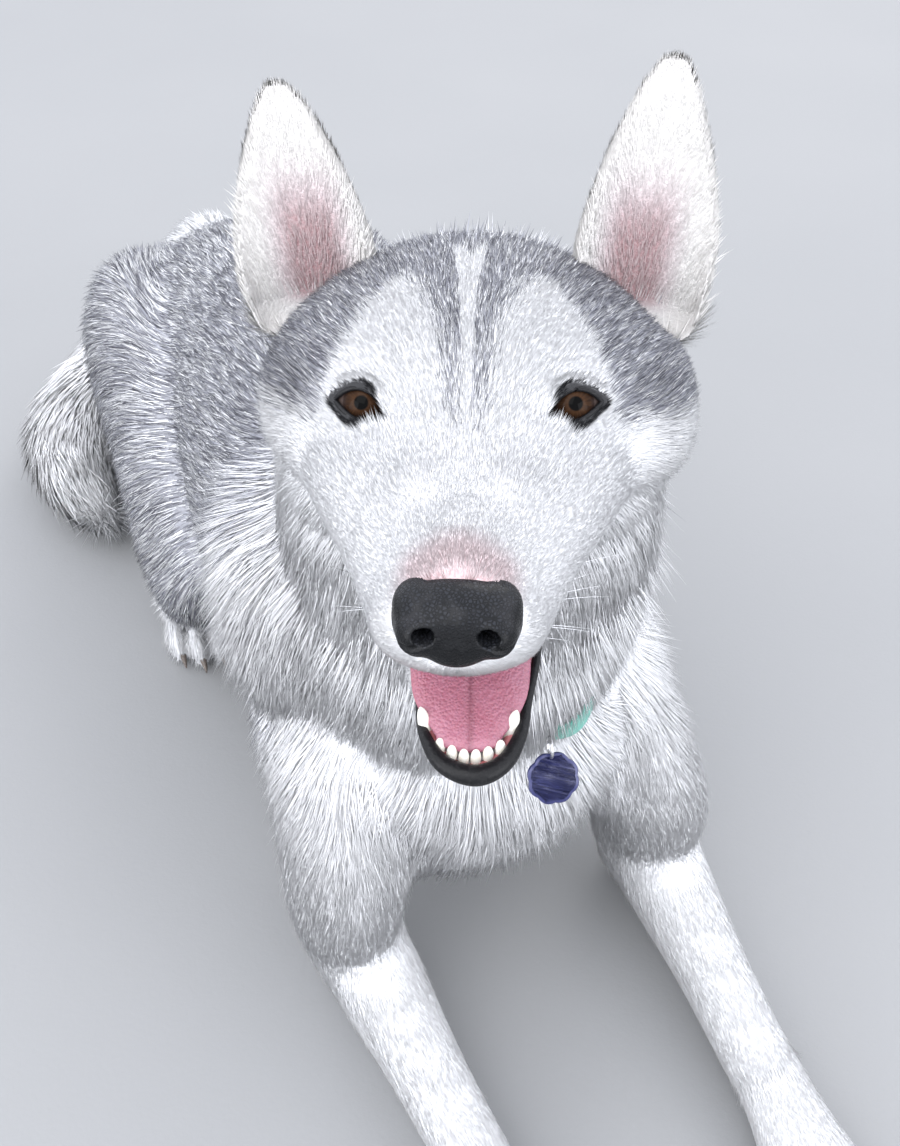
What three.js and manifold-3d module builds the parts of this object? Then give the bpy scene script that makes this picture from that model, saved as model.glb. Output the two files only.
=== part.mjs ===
// A life-size siberian husky lying on the floor with its forelegs stretched out, its head raised
// and turned, its mouth open and its tail curled round its right haunch.
// Millimetres, +Z up. The dog faces -Y, so its own left is on +X. Sizes are out to the tips of the coat.
import * as THREE from "three";
import { mergeVertices } from "three/addons/utils/BufferGeometryUtils.js";
import Module from "manifold-3d";

const wasm = await Module();
wasm.setup();

// Driving sizes of the dog, in its coat.
const TRUNK_LENGTH = 590;
const CHEST_DEPTH = 312;
const CHEST_WIDTH = 214;
const TRUNK_TURN = 21;
const HEAD_WIDTH = 156;
const HEAD_LIFT = 13;
const HEAD_TURN = 2.5;
const EYE_HEIGHT = 460;
const EYE_SPREAD = 34;
const EYE_RADIUS = 11.5;
const EAR_LENGTH = 77;
const EAR_WIDTH = 54;
const MUZZLE_WIDTH = 56;
const NOSE_WIDTH = 37;
const TAIL_BRUSH = 46;
const NECK_WIDTH = 176;
const GAP = 0.35;

// The frames of the trunk and of the face: the face frame starts midway between the eyes.
const UP = new THREE.Vector3(0, 0, 1);
const AHEAD = new THREE.Vector3(0, -1, 0);
const ACROSS = new THREE.Vector3(1, 0, 0);
const rad = THREE.MathUtils.degToRad;
const trunkFrame = new THREE.Matrix4()
  .makeRotationZ(rad(TRUNK_TURN))
  .setPosition(8, 125, 0);
const faceFrame = new THREE.Matrix4()
  .makeRotationZ(rad(-HEAD_TURN))
  .multiply(new THREE.Matrix4().makeRotationX(rad(-HEAD_LIFT)))
  .setPosition(6, 0, EYE_HEIGHT);

// Colours of the coat and of the bare parts.
const finish = (color, roughness, metalness = 0) =>
  new THREE.MeshStandardMaterial({ color, roughness, metalness });
const WHITE_COAT = finish(0xe9e8e6, 0.9);
const GREY_COAT = finish(0x9a9aa0, 0.9);
const PALE_COAT = finish(0xd9d6d2, 0.9);
const EYE_BROWN = finish(0x4a2c18, 0.15);
const NOSE_BLACK = finish(0x1c1d20, 0.45);
const TONGUE_PINK = finish(0xc27a88, 0.4);
const COLLAR_TEAL = finish(0x4fae98, 0.7);
const TAG_BLUE = finish(0x23275a, 0.4);

// Turns a three.js geometry into a solid, facing out.
function solidOf(geometry, frame = new THREE.Matrix4()) {
  const g = geometry.clone().applyMatrix4(frame);
  g.deleteAttribute("normal");
  g.deleteAttribute("uv");
  const merged = mergeVertices(g, 1e-3);
  const points = merged.attributes.position.array;
  const triVerts = new Uint32Array(merged.index.array);
  const corner = [new THREE.Vector3(), new THREE.Vector3(), new THREE.Vector3()];
  let volume = 0;
  for (let i = 0; i < triVerts.length; i += 3) {
    corner.forEach((c, k) => c.fromArray(points, 3 * triVerts[i + k]));
    volume += corner[0].dot(corner[1].cross(corner[2]));
  }
  if (volume < 0)
    for (let i = 0; i < triVerts.length; i += 3)
      [triVerts[i + 1], triVerts[i + 2]] = [triVerts[i + 2], triVerts[i + 1]];
  return new wasm.Manifold(
    new wasm.Mesh({ numProp: 3, vertProperties: points, triVerts }),
  );
}

const join = (solids) => wasm.Manifold.union(solids);
const cut = (solid, cutters) => cutters.reduce((s, c) => s.subtract(c), solid);

// The largest closed surface of a solid, which fills sealed hollows and drops loose scraps.
function largest(solid) {
  const bodies = solid.decompose();
  return bodies.reduce((a, b) => (b.volume() > a.volume() ? b : a));
}

// The skin of a body swept along its stations. A station is
// [x, y, z, half width, height above, depth below, end cap]. A place on the skin is a share u of
// the way along, a turn about the line, and how far it stands out of the skin.
function skinOf(stations, hint = UP) {
  const curve = (first) =>
    new THREE.CatmullRomCurve3(
      stations.map((s) => new THREE.Vector3(s[first], s[first + 1], s[first + 2])),
      false,
      "catmullrom",
    );
  const line = curve(0);
  const girth = curve(3);
  const length = line.getLength();
  const at = (u, turn, { out = 0, swell = 1, push = 0 } = {}) => {
    const share = THREE.MathUtils.clamp(u, 0, 1);
    const ahead = line.getTangent(share);
    const side = new THREE.Vector3().crossVectors(ahead, hint).normalize();
    const rise = new THREE.Vector3().crossVectors(side, ahead);
    const size = girth.getPoint(share);
    const lift = Math.sin(turn) > 0 ? size.y : size.z;
    return line
      .getPoint(share)
      .addScaledVector(ahead, push + (u - share) * length)
      .addScaledVector(side, swell * Math.cos(turn) * (size.x + out))
      .addScaledVector(rise, swell * Math.sin(turn) * (lift + out));
  };
  return { at, length, width: (u) => girth.getPoint(THREE.MathUtils.clamp(u, 0, 1)).x };
}

// Moves each point of a ball of the given fineness to where place puts it. The first argument is
// the share of the way from one pole to the other, the second the turn about them.
function shaped(around, along, place) {
  const shape = new THREE.SphereGeometry(1, around, along);
  const points = shape.attributes.position;
  for (let i = 0; i < points.count; i++) {
    const t = Math.acos(THREE.MathUtils.clamp(points.getY(i), -1, 1)) / Math.PI;
    const turn = Math.atan2(points.getZ(i), points.getX(i));
    points.setXYZ(i, ...place(t, turn));
  }
  return shape;
}

// A smooth body with round ends, swept along its stations.
function loft(stations, { hint = UP, around = 20, along = 20, grow = 0 } = {}) {
  const skin = skinOf(stations, hint);
  const ends = [stations[0], stations[stations.length - 1]];
  const caps = ends.map((s) => (s[6] ?? 0.6 * s[3]) + grow);
  const share = Math.max(2, Math.round(along / 8)) / along;
  return shaped(around, along, (t, turn) => {
    const end = t < share ? -1 : t > 1 - share ? 1 : 0;
    const bow = end ? (Math.min(t, 1 - t) / share) * (Math.PI / 2) : Math.PI / 2;
    const push = end * caps[end > 0 ? 1 : 0] * Math.cos(bow);
    const u = THREE.MathUtils.clamp((t - share) / (1 - 2 * share), 0, 1);
    return skin.at(u, turn, { out: grow, swell: Math.sin(bow), push });
  });
}

// A ball stretched to three half sizes, and turned about its upright axis.
function ball(centre, halves, { grow = 0, turn = 0, around = 12, along = 8 } = {}) {
  return new THREE.SphereGeometry(1, around, along)
    .scale(halves[0] + grow, halves[1] + grow, halves[2] + grow)
    .rotateZ(rad(turn))
    .translate(...centre);
}

// A small repeatable stream of numbers from 0 to 1, for the scatter of the locks.
function dice(seed) {
  let state = seed;
  return () => {
    state = (state * 1664525 + 1013904223) % 4294967296;
    return state / 4294967296;
  };
}

// Staggered rows of locks over a body, between two shares of its length and two turns about it.
// Each lock is flat and tapered: it leaves a sunk root along the body, lifts off it, and bends.
function locksOver(stations, { hint = UP, rows, turns, span, sector = [0, 360], seed, size }) {
  const skin = skinOf(stations, hint);
  const roll = dice(seed);
  const way = Math.sign(span[1] - span[0]);
  const locks = [];
  for (let row = 0; row < rows; row++)
    for (let k = 0; k < turns; k++) {
      const root = THREE.MathUtils.lerp(...span, (row + 0.4 * (roll() - 0.5)) / rows);
      const middle = (k + (row % 2) / 2 + 0.3 * (roll() - 0.5)) / turns;
      const heading = rad(THREE.MathUtils.lerp(...sector, middle));
      const long = size.length * (0.85 + 0.3 * roll());
      const sway = 0.35 * (roll() - 0.5);
      const shape = shaped(size.sides ?? 4, size.steps ?? 4, (t, turn) => {
        const wide = Math.sin(Math.PI * Math.min(t, 1 - t)) * (1.2 - t) * 0.55 * size.width;
        const u = root + (way * long * t) / skin.length;
        const across = wide * Math.cos(turn) + sway * long * t * t;
        const girth = Math.max(skin.width(u), 12);
        const lift = size.lift * girth * Math.sin(t * 2.4) - 4 * (1 - t);
        const out = lift + 0.3 * wide * Math.sin(turn);
        return skin.at(u, heading + across / girth, { out });
      });
      locks.push(solidOf(shape));
    }
  return locks;
}

// The trunk: rows run from the breast to the rump, in the trunk frame.
const chest = CHEST_WIDTH / 2;
const TRUNK = [
  [0, -0.08 * TRUNK_LENGTH, 0.6 * CHEST_DEPTH, 0.62 * chest, 0.2 * CHEST_DEPTH, 0.2 * CHEST_DEPTH, 34],
  [0, 0, 0.56 * CHEST_DEPTH, 0.85 * chest, 0.37 * CHEST_DEPTH, 0.37 * CHEST_DEPTH],
  [0, 0.12 * TRUNK_LENGTH, 0.53 * CHEST_DEPTH, 0.97 * chest, 0.47 * CHEST_DEPTH, 0.48 * CHEST_DEPTH],
  [0, 0.27 * TRUNK_LENGTH, 0.53 * CHEST_DEPTH, chest, 0.46 * CHEST_DEPTH, 0.54 * CHEST_DEPTH],
  [0, 0.44 * TRUNK_LENGTH, 0.53 * CHEST_DEPTH, 0.94 * chest, 0.42 * CHEST_DEPTH, 0.5 * CHEST_DEPTH],
  [0, 0.6 * TRUNK_LENGTH, 0.51 * CHEST_DEPTH, 0.83 * chest, 0.37 * CHEST_DEPTH, 0.41 * CHEST_DEPTH],
  [0, 0.75 * TRUNK_LENGTH, 0.5 * CHEST_DEPTH, 0.8 * chest, 0.31 * CHEST_DEPTH, 0.33 * CHEST_DEPTH],
  [0, 0.86 * TRUNK_LENGTH, 0.5 * CHEST_DEPTH, 0.68 * chest, 0.21 * CHEST_DEPTH, 0.24 * CHEST_DEPTH, 36],
];
const trunk = (grow = 0) =>
  solidOf(loft(TRUNK, { around: 20, along: 16, grow }), trunkFrame);

// The neck rises from between the shoulders to the back of the head: its near side is the throat.
const neckHalf = NECK_WIDTH / 2;
const NECK = [
  [-22, 196, 214, 1.06 * neckHalf, 84, 84],
  [0, 142, 262, 1.08 * neckHalf, 104, 104],
  [8, 106, 330, 0.98 * neckHalf, 84, 90],
  [10, 82, 398, 0.88 * neckHalf, 68, 76],
  [11, 72, 440, 0.72 * neckHalf, 50, 58, 14],
];
const neckCore = (grow = 0) =>
  solidOf(loft(NECK, { hint: AHEAD, around: 20, along: 11, grow }));

// The head, in the face frame, from the back of the skull to the tip of the muzzle.
const skullHalf = HEAD_WIDTH / 2;
const muzzleHalf = MUZZLE_WIDTH / 2;
const HEAD = [
  [0, 108, -12, 0.66 * skullHalf, 38, 46, 22],
  [0, 80, -8, 0.87 * skullHalf, 48, 58],
  [0, 45, -8, skullHalf, 47, 60],
  [0, 15, -12, 0.9 * skullHalf, 45, 56],
  [0, -8, -19, 0.57 * skullHalf, 33, 43],
  [0, -30, -28, 1.36 * muzzleHalf, 25, 33],
  [0, -60, -35, 1.1 * muzzleHalf, 21, 24],
  [0, -80, -38, muzzleHalf, 18, 19, 12],
];
// Cheeks that fill the head out from the muzzle to the temples: centre and half sizes.
const CHEEKS = [
  [[62, 34, -12], [20, 34, 30]],
  [[-60, 36, -12], [17, 32, 28]],
  [[38, 0, -22], [20, 34, 20]],
  [[-38, 0, -22], [20, 34, 20]],
  [[28, -28, -28], [16, 30, 17]],
  [[-28, -28, -28], [16, 30, 17]],
];
const head = (grow = 0) =>
  join([
    solidOf(loft(HEAD, { around: 18, along: 16, grow }), faceFrame),
    ...CHEEKS.map(([at, halves]) => solidOf(ball(at, halves, { grow, around: 14 }), faceFrame)),
  ]);
const JAW = [
  [0, 46, -54, 0.58 * skullHalf, 18, 20],
  [1, 10, -65, 0.46 * skullHalf, 15, 17],
  [2, -25, -78, 0.33 * skullHalf, 10, 14],
  [4, -52, -89, 0.24 * skullHalf, 7, 10],
  [5, -66, -95, 0.18 * skullHalf, 6, 7, 10],
];
const TONGUE = [
  [1, 8, -58, 17, 7, 6, 8],
  [2, -20, -66, 18, 5, 6],
  [3.5, -44, -77, 16, 4, 5],
  [4.5, -62, -85, 11, 3, 4, 6],
];
const NOSE = { at: [0, -83.5, -33.5], halves: [NOSE_WIDTH / 2, 14.5, 13] };

// The trunk's limbs. A side is 1 for the dog's left and -1 for its right.
const SIDES = { left: 1, right: -1 };
const ELBOW = { left: [108, -16, 50], right: [-82, -18, 50] };
const WRIST = { left: [105, -180, 29], right: [-58, -188, 29] };
const FOREPAW_TURN = { left: 3, right: -11 };
const shoulderRows = (side) => {
  const s = SIDES[side];
  const [x, y, z] = ELBOW[side];
  return [
    [s * 60, 100, 256, 34, 26, 26, 20],
    [s * 74, 44, 210, 48, 34, 34],
    [s * 80, -22, 158, 54, 36, 36],
    [0.6 * x + s * 35, -36, 104, 46, 35, 35],
    [x, y, z, 35, 31, 31, 26],
  ];
};
const forearmRows = (side) => {
  const [ex, ey, ez] = ELBOW[side];
  const [wx, wy, wz] = WRIST[side];
  const mid = (a, b, t) => a + (b - a) * t;
  return [
    [ex, ey, ez, 31, 34, 50, 26],
    [mid(ex, wx, 0.3), mid(ey, wy, 0.3), mid(ez, wz, 0.2), 27, 29, 45],
    [mid(ex, wx, 0.65), mid(ey, wy, 0.65), mid(ez, wz, 0.6), 22, 23, 38],
    [wx, wy, wz, 21, 20, 32, 26],
  ];
};
const KNEE = [97, 258, 70];
const thighRows = (side) => {
  const s = SIDES[side];
  return [
    [s * 66, 530, 146, 48, 54, 66, 30],
    [s * 80, 462, 142, 54, 82, 92],
    [s * 88, 366, 118, 48, 82, 84],
    [s * KNEE[0], 296, 86, 40, 60, 58],
    [s * KNEE[0], KNEE[1], KNEE[2], 34, 42, 46, 24],
  ];
};
const shankRows = (side) => {
  const s = SIDES[side];
  return [
    [s * 94, 282, 52, 30, 32, 60],
    [s * 98, 350, 46, 27, 30, 60],
    [s * 100, 420, 40, 23, 26, 60],
    [s * 99, 462, 32, 18, 22, 50, 14],
  ];
};
const FOOT_AT = [99, 282, 0];

// A paw pointing along -Y: a low heel, a pad, four toes with their claws.
function paw({ heel, width, grow = 0 }) {
  const toes = [-0.36, -0.13, 0.13, 0.36].map((share, i) => {
    const reach = i === 1 || i === 2 ? -62 : -52;
    const spot = [share * width, reach, 13];
    const claw = new THREE.ConeGeometry(2.8 + grow, 17 + 2 * grow, 4)
      .rotateX(rad(106))
      .translate(spot[0], reach - 18, 10);
    return join([
      solidOf(ball(spot, [0.155 * width, 19, 15], { grow, around: 6, along: 5 })),
      solidOf(claw),
    ]);
  });
  const back = loft(
    [
      [0, heel, 24, 19, 20, 26, 12],
      [0, heel - 30, 21, 22, 20, 24],
      [0, -18, 16, 0.46 * width, 20, 20],
      [0, -42, 12, 0.44 * width, 16, 16, 12],
    ],
    { around: 10, along: 8, grow },
  );
  return join([solidOf(back), ...toes]);
}

// The floor side is cut level, so that the dog rests on small flats.
const ground = solidOf(
  new THREE.BoxGeometry(2400, 2400, 400).translate(0, 0, -200),
);

const atWrist = (side) =>
  trunkFrame
    .clone()
    .multiply(
      new THREE.Matrix4()
        .makeRotationZ(rad(-FOREPAW_TURN[side]))
        .setPosition(WRIST[side][0], WRIST[side][1] - 42, 0),
    );
const atFoot = (side) =>
  trunkFrame
    .clone()
    .multiply(
      new THREE.Matrix4().setPosition(SIDES[side] * FOOT_AT[0], FOOT_AT[1] + 46, FOOT_AT[2]),
    );

// The tail: its brush reaches these sizes at the tips of the hair, and its core half of them.
const TAIL = [
  [0, 510, 176, 0.5 * TAIL_BRUSH, 0.5 * TAIL_BRUSH, 0.5 * TAIL_BRUSH],
  [-6, 556, 172, 0.68 * TAIL_BRUSH, 0.68 * TAIL_BRUSH, 0.68 * TAIL_BRUSH],
  [-40, 592, 112, 0.86 * TAIL_BRUSH, 0.86 * TAIL_BRUSH, 0.86 * TAIL_BRUSH],
  [-104, 582, 56, 0.98 * TAIL_BRUSH, 0.98 * TAIL_BRUSH, 0.98 * TAIL_BRUSH],
  [-146, 530, 43, TAIL_BRUSH, TAIL_BRUSH, TAIL_BRUSH],
  [-156, 468, 40, 0.86 * TAIL_BRUSH, 0.84 * TAIL_BRUSH, 0.9 * TAIL_BRUSH],
  [-148, 430, 34, 0.5 * TAIL_BRUSH, 0.5 * TAIL_BRUSH, 0.7 * TAIL_BRUSH, 18],
];
const tailEnvelope = (grow = 0) =>
  solidOf(loft(TAIL, { around: 10, along: 14, grow }), trunkFrame);

// One ear in the face frame: a tapering shell, cupped towards the front.
const EAR_LEAN = { left: 7, right: 11 };
const EAR_RISE = { left: 1, right: 0.885 };
const earStations = (side, slim, deep, forward) => {
  const s = SIDES[side];
  const half = EAR_WIDTH / 2;
  const rise = EAR_LENGTH * EAR_RISE[side];
  const lean = EAR_LEAN[side];
  return [
    [s * 60, 74 - forward, 10, half * slim * 0.96, 20 * deep, 16],
    [s * (61 + 0.3 * lean), 76 - forward, 0.46 * rise, half * slim, 16 * deep, 9],
    [s * (61 + 0.6 * lean), 77 - forward, 0.82 * rise, 0.78 * half * slim, 10 * deep, 6],
    [s * (61 + 0.85 * lean), 78 - forward, 1.1 * rise, 0.5 * half * slim, 4.5 * deep, 4],
    [s * (61 + lean), 78 - forward, 1.25 * rise, 0.27 * half * slim, 2.8 * deep, 2.8, 5],
  ];
};

const earShell = (side, grow = 0) =>
  solidOf(
    loft(earStations(side, 1, 1, 0), { hint: AHEAD, around: 12, along: 9, grow }),
    faceFrame,
  );

// The opening between the lids of one eye: two arcs that meet at its corners.
function eyeSlit(side) {
  const s = SIDES[side];
  const outer = [s * 10, 2];
  const inner = [-s * 9.6, -6];
  const outline = new THREE.Shape()
    .moveTo(...outer)
    .quadraticCurveTo(-s * 2.5, 14, ...inner)
    .quadraticCurveTo(s * 4.2, -10.5, ...outer);
  return new THREE.ExtrudeGeometry(outline, { depth: 30, bevelEnabled: false, curveSegments: 7 })
    .rotateX(rad(90 - 26))
    .rotateZ(rad(s * 8))
    .translate(s * EYE_SPREAD, 2, -0.6);
}

const nodes = new Map();
const add = (name, solid, material) =>
  nodes.set(name, { solid: largest(cut(solid, [ground])), material });

// The trunk comes first, and what grows from it is cut by it.
const trunkGrown = trunk(GAP);
const headGrown = head(GAP);
const shoulders = {};
for (const side of Object.keys(SIDES)) {
  shoulders[side] = (grow) =>
    solidOf(loft(shoulderRows(side), { hint: ACROSS, around: 12, along: 11, grow }), trunkFrame);
  const shoulder = cut(shoulders[side](0), [trunkGrown]);
  add(`shoulder_${side}`, shoulder, WHITE_COAT);
  const forearm = (grow) =>
    solidOf(loft(forearmRows(side), { around: 12, along: 9, grow }), trunkFrame);
  const pawSolid = paw({ heel: 46, width: 62 }).transform(atWrist(side).elements);
  const wristCut = solidOf(
    new THREE.BoxGeometry(120, 80, 120).translate(0, 34 - 80 / 2, 0),
    atWrist(side),
  );
  const heelCut = solidOf(
    new THREE.BoxGeometry(120, 80, 120).translate(0, 34 - GAP + 80 / 2, 0),
    atWrist(side),
  );
  add(
    `forearm_${side}`,
    cut(forearm(0), [trunkGrown, shoulders[side](GAP), wristCut]),
    WHITE_COAT,
  );
  add(`forepaw_${side}`, cut(pawSolid, [heelCut]), WHITE_COAT);
}

// Hind legs, with locks of long hair down the back of each thigh.
for (const side of Object.keys(SIDES)) {
  const s = SIDES[side];
  const rows = thighRows(side);
  const shank = (grow) =>
    solidOf(loft(shankRows(side), { around: 10, along: 7, grow }), trunkFrame);
  const foot = (grow) =>
    paw({ heel: 132, width: 56, grow }).transform(atFoot(side).elements);
  const breeches = locksOver(rows, {
    rows: 3,
    turns: 3,
    span: [0.42, -0.08],
    sector: s > 0 ? [170, 290] : [250, 370],
    seed: 11,
    size: { length: 64, width: 40, lift: 0.22 },
  }).map((one) => one.transform(trunkFrame.elements));
  const thigh = join([
    solidOf(loft(rows, { around: 14, along: 12 }), trunkFrame),
    ...breeches,
  ]);
  const cutters = [trunkGrown, shank(GAP), foot(GAP)];
  if (side === "right") cutters.push(tailEnvelope(2 + GAP));
  add(`thigh_${side}`, cut(thigh, cutters), GREY_COAT);
  add(`shank_${side}`, cut(shank(0), [trunkGrown, foot(GAP)]), WHITE_COAT);
  add(`hindpaw_${side}`, cut(foot(0), [trunkGrown]), WHITE_COAT);
}

add("trunk", trunk(), GREY_COAT);

// The tail's core and the long locks of its brush.
const tailCore = TAIL.map(([x, y, z, a, b, c, end]) => [x, y, z, 0.6 * a, 0.6 * b, 0.6 * c, end]);
const brush = locksOver(tailCore, {
  rows: 7,
  turns: 4,
  span: [0.06, 0.92],
  seed: 5,
  size: { length: 84, width: 48, lift: 0.5 },
});
const tail = join([
  solidOf(loft(tailCore, { around: 10, along: 18 })),
  ...brush,
]).transform(trunkFrame.elements);
add("tail", cut(tail, [trunkGrown]), WHITE_COAT);

// The collar hugs the neck: a slab of the space just outside it, level with the throat.
const COLLAR = { at: [9, 104, 261], tilt: 38, width: 19, thick: 2.5 };
function collarBand(grow = 0) {
  const slab = new THREE.BoxGeometry(400, 400, COLLAR.width + 2 * grow)
    .rotateX(rad(COLLAR.tilt))
    .translate(...COLLAR.at);
  const outside = neckCore(COLLAR.thick + grow).intersect(solidOf(slab));
  return grow > 0 ? outside : outside.subtract(neckCore(GAP));
}

// The tag: a flower-edged disc and its ring, lying on the breast.
const TAG = { at: [48, 25, 231], lean: 54, swing: 10, radius: 12.4, thick: 2.2, petals: 8, ring: 4.5 };
function tagDisc(grow = 0) {
  const outline = new THREE.Shape();
  const steps = 4 * TAG.petals;
  for (let i = 0; i <= steps; i++) {
    const turn = (i / steps) * 2 * Math.PI;
    const r = TAG.radius * (1 + 0.08 * Math.abs(Math.sin((TAG.petals / 2) * turn))) + grow;
    const spot = [r * Math.cos(turn), r * Math.sin(turn)];
    if (i === 0) outline.moveTo(...spot);
    else outline.lineTo(...spot);
  }
  const depth = TAG.thick + 2 * grow;
  const disc = new THREE.ExtrudeGeometry(outline, { depth, bevelEnabled: false });
  const ring = new THREE.TorusGeometry(TAG.ring, 0.9 + grow, 5, 10);
  ring.rotateY(Math.PI / 2).translate(0, TAG.radius + TAG.ring - 1.5, TAG.thick / 2);
  const place = new THREE.Matrix4()
    .makeRotationZ(rad(TAG.swing))
    .multiply(new THREE.Matrix4().makeRotationX(rad(TAG.lean)))
    .setPosition(...TAG.at);
  return join([solidOf(disc.translate(0, 0, -grow), place), solidOf(ring, place)]);
}

const neck = join([
  neckCore(),
  ...locksOver(NECK, {
    hint: AHEAD,
    rows: 4,
    turns: 7,
    span: [0.95, 0.25],
    seed: 3,
    size: { length: 88, width: 58, lift: 0.12 },
  }),
]);
add(
  "neck",
  cut(neck, [
    trunkGrown,
    headGrown,
    shoulders.left(GAP),
    shoulders.right(GAP),
    collarBand(GAP).subtract(neckCore()),
    tagDisc(GAP),
    ...Object.keys(SIDES).map((side) => earShell(side, GAP)),
    solidOf(loft(JAW, { around: 14, along: 10, grow: GAP }), faceFrame),
  ]),
  WHITE_COAT,
);
add(
  "collar",
  cut(collarBand(), [trunkGrown, shoulders.left(GAP), shoulders.right(GAP), tagDisc(GAP)]),
  COLLAR_TEAL,
);
add("tag", cut(tagDisc(), [trunkGrown]), TAG_BLUE);

// The face: sockets, lids, cheeks, nose, mouth, jaw, tongue and ears.
const noseSolid = (grow = 0) => solidOf(ball(NOSE.at, NOSE.halves, { grow }), faceFrame);
const nostrils = Object.values(SIDES).map((s) =>
  solidOf(
    loft(
      [
        [s * 8.8, -101, -31.5, 3.6, 3, 3, 2],
        [s * 9.4, -91, -31.5, 2.6, 2.4, 2.4, 2],
      ],
      { around: 6, along: 6 },
    ),
    faceFrame,
  ),
);
add("nose", cut(noseSolid(), nostrils), NOSE_BLACK);

const eyeSolids = [];
const faceAdds = [head()];
const faceCuts = [noseSolid(GAP)];
for (const side of Object.keys(SIDES)) {
  const s = SIDES[side];
  const eyeAt = [s * EYE_SPREAD, 2, 0.8];
  const eyeSize = [EYE_RADIUS, EYE_RADIUS, EYE_RADIUS];
  const socket = ball([s * 40, -9, 0], [20, 10, 12], { turn: s * 40 });
  faceAdds[0] = faceAdds[0].subtract(solidOf(socket, faceFrame));
  faceAdds.push(solidOf(ball(eyeAt, eyeSize, { grow: 2.4 }), faceFrame));
  faceCuts.push(solidOf(ball(eyeAt, eyeSize, { grow: GAP }), faceFrame));
  faceCuts.push(solidOf(eyeSlit(side), faceFrame));
  add(
    `eye_${side}`,
    solidOf(ball(eyeAt, eyeSize), faceFrame),
    EYE_BROWN,
  );
}
for (const side of Object.keys(SIDES)) {
  const cup = loft(earStations(side, 0.8, 1.5, 7), { hint: AHEAD, around: 10, along: 9 });
  add(
    `ear_${side}`,
    cut(earShell(side), [solidOf(cup, faceFrame), headGrown]),
    PALE_COAT,
  );
}
add("head", cut(join(faceAdds), faceCuts), WHITE_COAT);
const tongueSolid = (grow = 0) =>
  solidOf(loft(TONGUE, { around: 10, along: 8, grow }), faceFrame);
const tooth = (x, y, z, radius, long) =>
  new THREE.ConeGeometry(radius, long, 5).rotateX(Math.PI / 2).translate(x, y, z);
const teeth = [-2.5, -1.5, -0.5, 0.5, 1.5, 2.5].map((k) =>
  tooth(4.7 + 4.2 * k, -71.5 + 0.9 * k * k, -90, 2.1, 9),
);
for (const s of Object.values(SIDES)) teeth.push(tooth(4 + s * 13.2, -59, -85, 3.2, 18));
const jaw = join([
  solidOf(loft(JAW, { around: 14, along: 10 }), faceFrame),
  ...teeth.map((one) => solidOf(one, faceFrame)),
]);
add("jaw", cut(jaw, [headGrown, tongueSolid(GAP)]), WHITE_COAT);
add("tongue", cut(tongueSolid(), [headGrown]), TONGUE_PINK);

// A three.js mesh for each solid.
function meshOf(name, solid, material) {
  const made = solid.getMesh();
  const points = new Float32Array(made.numVert * 3);
  for (let i = 0; i < made.numVert; i++)
    points.set(made.vertProperties.subarray(i * made.numProp, i * made.numProp + 3), 3 * i);
  const geometry = new THREE.BufferGeometry()
    .setAttribute("position", new THREE.BufferAttribute(points, 3))
    .setIndex(new THREE.BufferAttribute(made.triVerts, 1));
  geometry.computeVertexNormals();
  const mesh = new THREE.Mesh(geometry, material);
  mesh.name = name;
  return mesh;
}

const dog = new THREE.Group();
for (const [name, { solid, material }] of nodes) dog.add(meshOf(name, solid, material));

// The origin is on the floor, under the middle of the dog.
const extent = new THREE.Box3().setFromObject(dog);
const middle = extent.getCenter(new THREE.Vector3());
dog.position.set(-middle.x, -middle.y, -extent.min.z);

export default dog;
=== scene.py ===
"""A life-size siberian husky, lying with its forelegs stretched out and its head raised.

The sizes in the classes are millimetres in the dog's own frame: the dog faces -Y, its left side is
on +X and the floor is at z = 0. Each piece is turned into metres of the shared frame as it is made.
"""
import logging
import math
from collections.abc import Callable, Iterable, Sequence
from dataclasses import dataclass, field
from enum import Enum
from typing import Protocol

import bmesh
import bpy
import numpy as np
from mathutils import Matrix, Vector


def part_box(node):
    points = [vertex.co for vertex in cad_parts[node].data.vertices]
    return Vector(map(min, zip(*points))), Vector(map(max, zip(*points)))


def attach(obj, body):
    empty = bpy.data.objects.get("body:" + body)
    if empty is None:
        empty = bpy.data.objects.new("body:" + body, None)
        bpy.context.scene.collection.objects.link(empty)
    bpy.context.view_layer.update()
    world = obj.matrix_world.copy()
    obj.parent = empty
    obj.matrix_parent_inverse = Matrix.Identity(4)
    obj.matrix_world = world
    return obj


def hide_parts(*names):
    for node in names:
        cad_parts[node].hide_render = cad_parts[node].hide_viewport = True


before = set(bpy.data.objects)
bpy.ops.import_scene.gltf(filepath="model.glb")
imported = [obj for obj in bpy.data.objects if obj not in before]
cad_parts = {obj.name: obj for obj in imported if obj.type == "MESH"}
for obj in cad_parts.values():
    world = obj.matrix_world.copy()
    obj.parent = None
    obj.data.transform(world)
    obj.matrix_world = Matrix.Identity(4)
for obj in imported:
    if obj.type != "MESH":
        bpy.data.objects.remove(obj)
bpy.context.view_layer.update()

LOG = logging.getLogger("husky")
Array = np.ndarray
Row = tuple[float, ...]
Shape = bmesh.types.BMesh

MM = 0.001
UP = (0.0, 0.0, 1.0)
AHEAD = (0.0, -1.0, 0.0)
ACROSS = (1.0, 0.0, 0.0)
SIDES = {"left": 1, "right": -1}
FLOOR_CLEAR = 0.4
COAT_SHARE = 1.0
FACES_IN_PIECE = 195000
PATCH = 0.0032


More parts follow.
